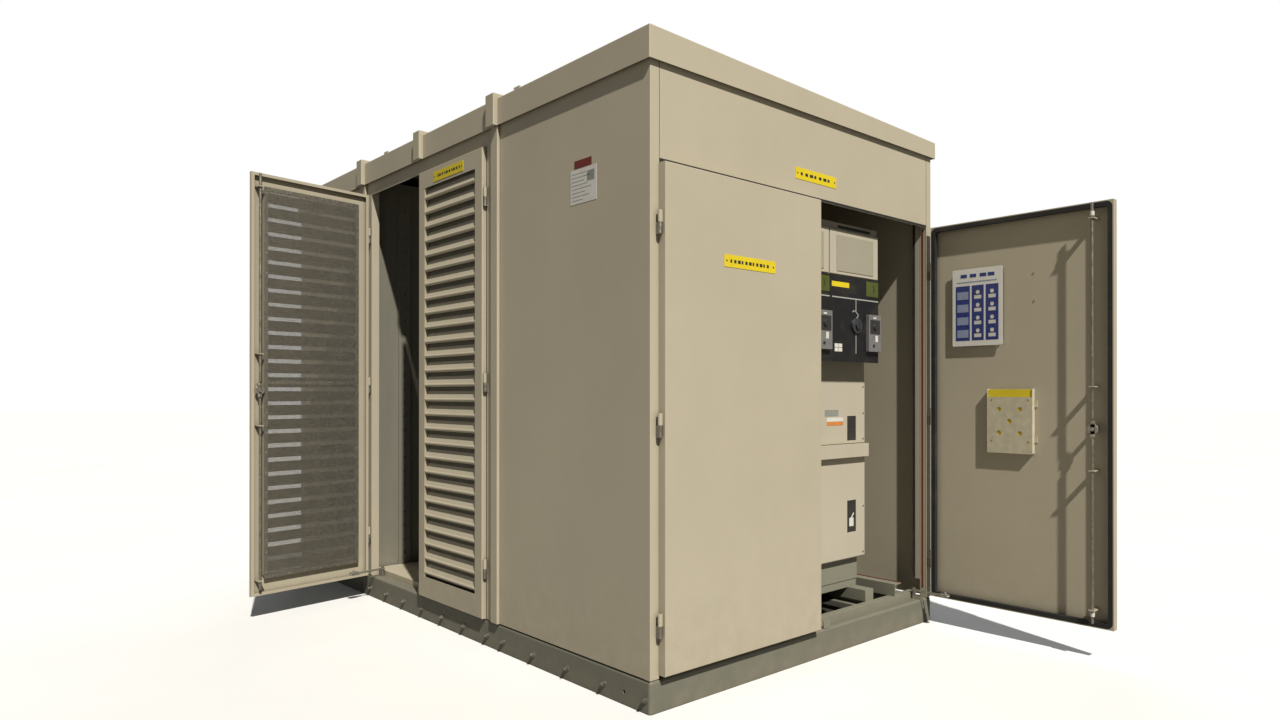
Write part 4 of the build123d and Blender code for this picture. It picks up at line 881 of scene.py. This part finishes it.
def doorway_frame(room, end, label, side):
    """Folded reveal, rubber edge trim and red seal line at one side of an end doorway."""
    local = Local(Vector((0, 0, 0)), Vector((end, 0, 0)), Vector((0, end * side, 0)))
    reveal = Piece(local)
    reveal.box(1624 * MM, 1652 * MM, 826.5 * MM, 829 * MM, *REVEAL_ENDS)
    reveal.box(1624 * MM, 1626.5 * MM, 826.5 * MM, 850 * MM, *REVEAL_ENDS)
    reveal.make(room + "_reveal_" + label, "kiosk", M["inner_paint"], 0.6 * MM, "inner_paint")
    trim = Piece(local)
    trim.box(1618 * MM, 1630 * MM, 824.5 * MM, 831 * MM, *TRIM_ENDS)
    trim.make(room + "_edge_trim_" + label, "kiosk", M["gasket_rubber"], 2 * MM, "gasket_rubber")
    seal = Piece(local)
    seal.box(1668 * MM, 1674 * MM, 824.8 * MM, 827 * MM, *SEAL_LINE_ENDS)
    seal.make(room + "_seal_line_" + label, "kiosk", RED_PRINT, 0.8 * MM, "gasket_rubber")


def door_reveals():
    """Frames at both sides of both end doorways."""
    for room, end in ENDS:
        for label, side in SIDES:
            doorway_frame(room, end, label, side)


def end_wall_seams():
    """Near-black strips of painted shade in the seams beside the end headers, and a near-black strip over each end
    doorway as the painted shadow line above the door.
    """
    inner, outer = WALL_SEAM
    for room, end in ENDS:
        local = end_wall(end)
        seams = Piece(local)
        # Painted shade: near-black strips stand for the shade in the seams' gaps.
        for side in (-1, 1):
            for rear, face, foot, top in SEAM_SHADE_STRIP:
                seams.box(side * outer, side * inner, rear * MM, face * MM, foot * MM, top * MM)
        seams.make(room + "_wall_seams", "kiosk", SHADOW_GAP, slot="gasket_rubber")
        # Painted shadow: a near-black strip along the head of the doorway.
        seal = Piece(local)
        seal.box(-outer, outer, -1 * MM, 0.9 * MM, 1857 * MM, 1867 * MM)
        seal.make(room + "_head_shadow_strip", "kiosk", M["gasket_rubber"], 0.5 * MM, "gasket_rubber")


def pit_channel_strip():
    """Red edging along the channel over the cable pit."""
    low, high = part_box("switchgear_plinth")
    strip = Piece()
    strip.box(high.x - 440 * MM, high.x - 2 * MM, high.y - 4 * MM, high.y - 0.5 * MM, 195 * MM, 200 * MM)
    strip.make("pit_channel_strip", "kiosk", RED_PRINT, 0.8 * MM, "handwheel_red")


# ---------------------------------------------------------------- stage
FLOOR_HALF = 60
PIT_ALONG = (0.70, 1.66)
PIT_HALF_WIDTH = 0.83
PIT_LIFT = 0.0004                   # keeps a pit's dark sheet clear of the floor


def stage_sheet(name, x0, x1, half_width, z, material):
    """Flat sheet that stands for the ground, not for the part."""
    mesh = bpy.data.meshes.new(name)
    mesh.from_pydata([(x0, -half_width, z), (x1, -half_width, z), (x1, half_width, z),
                      (x0, half_width, z)], [], [(0, 1, 2, 3)])
    mesh.materials.append(material)
    sheet = bpy.data.objects.new(name, mesh)
    bpy.context.scene.collection.objects.link(sheet)


def make_ground():
    """The floor, and near-black sheets of painted shade for the cable pits under the two end rooms."""
    stage_sheet("floor", -FLOOR_HALF, FLOOR_HALF, FLOOR_HALF, 0, pale_floor())
    near, far = PIT_ALONG
    # Painted shade: a near-black sheet for each pit.
    for room, end in ENDS:
        stage_sheet(room + "_pit", near * end, far * end, PIT_HALF_WIDTH, PIT_LIFT, SHADOW_GAP)


bpy.context.scene.view_settings.view_transform = "Standard"
make_camera()
make_lights()
make_ground()
paint_nodes()
header_plates()
side_labels()
door_plates()
screen("tx_left")
screen("tx_right")
diagram()
relay_boxes()
operating_panels()
cable_covers()
safety_sign()
pocket_card()
leaf_studs()
lock_cranks()
stay_clasps()
rod_rollers()
door_reveals()
end_wall_seams()
pit_channel_strip()
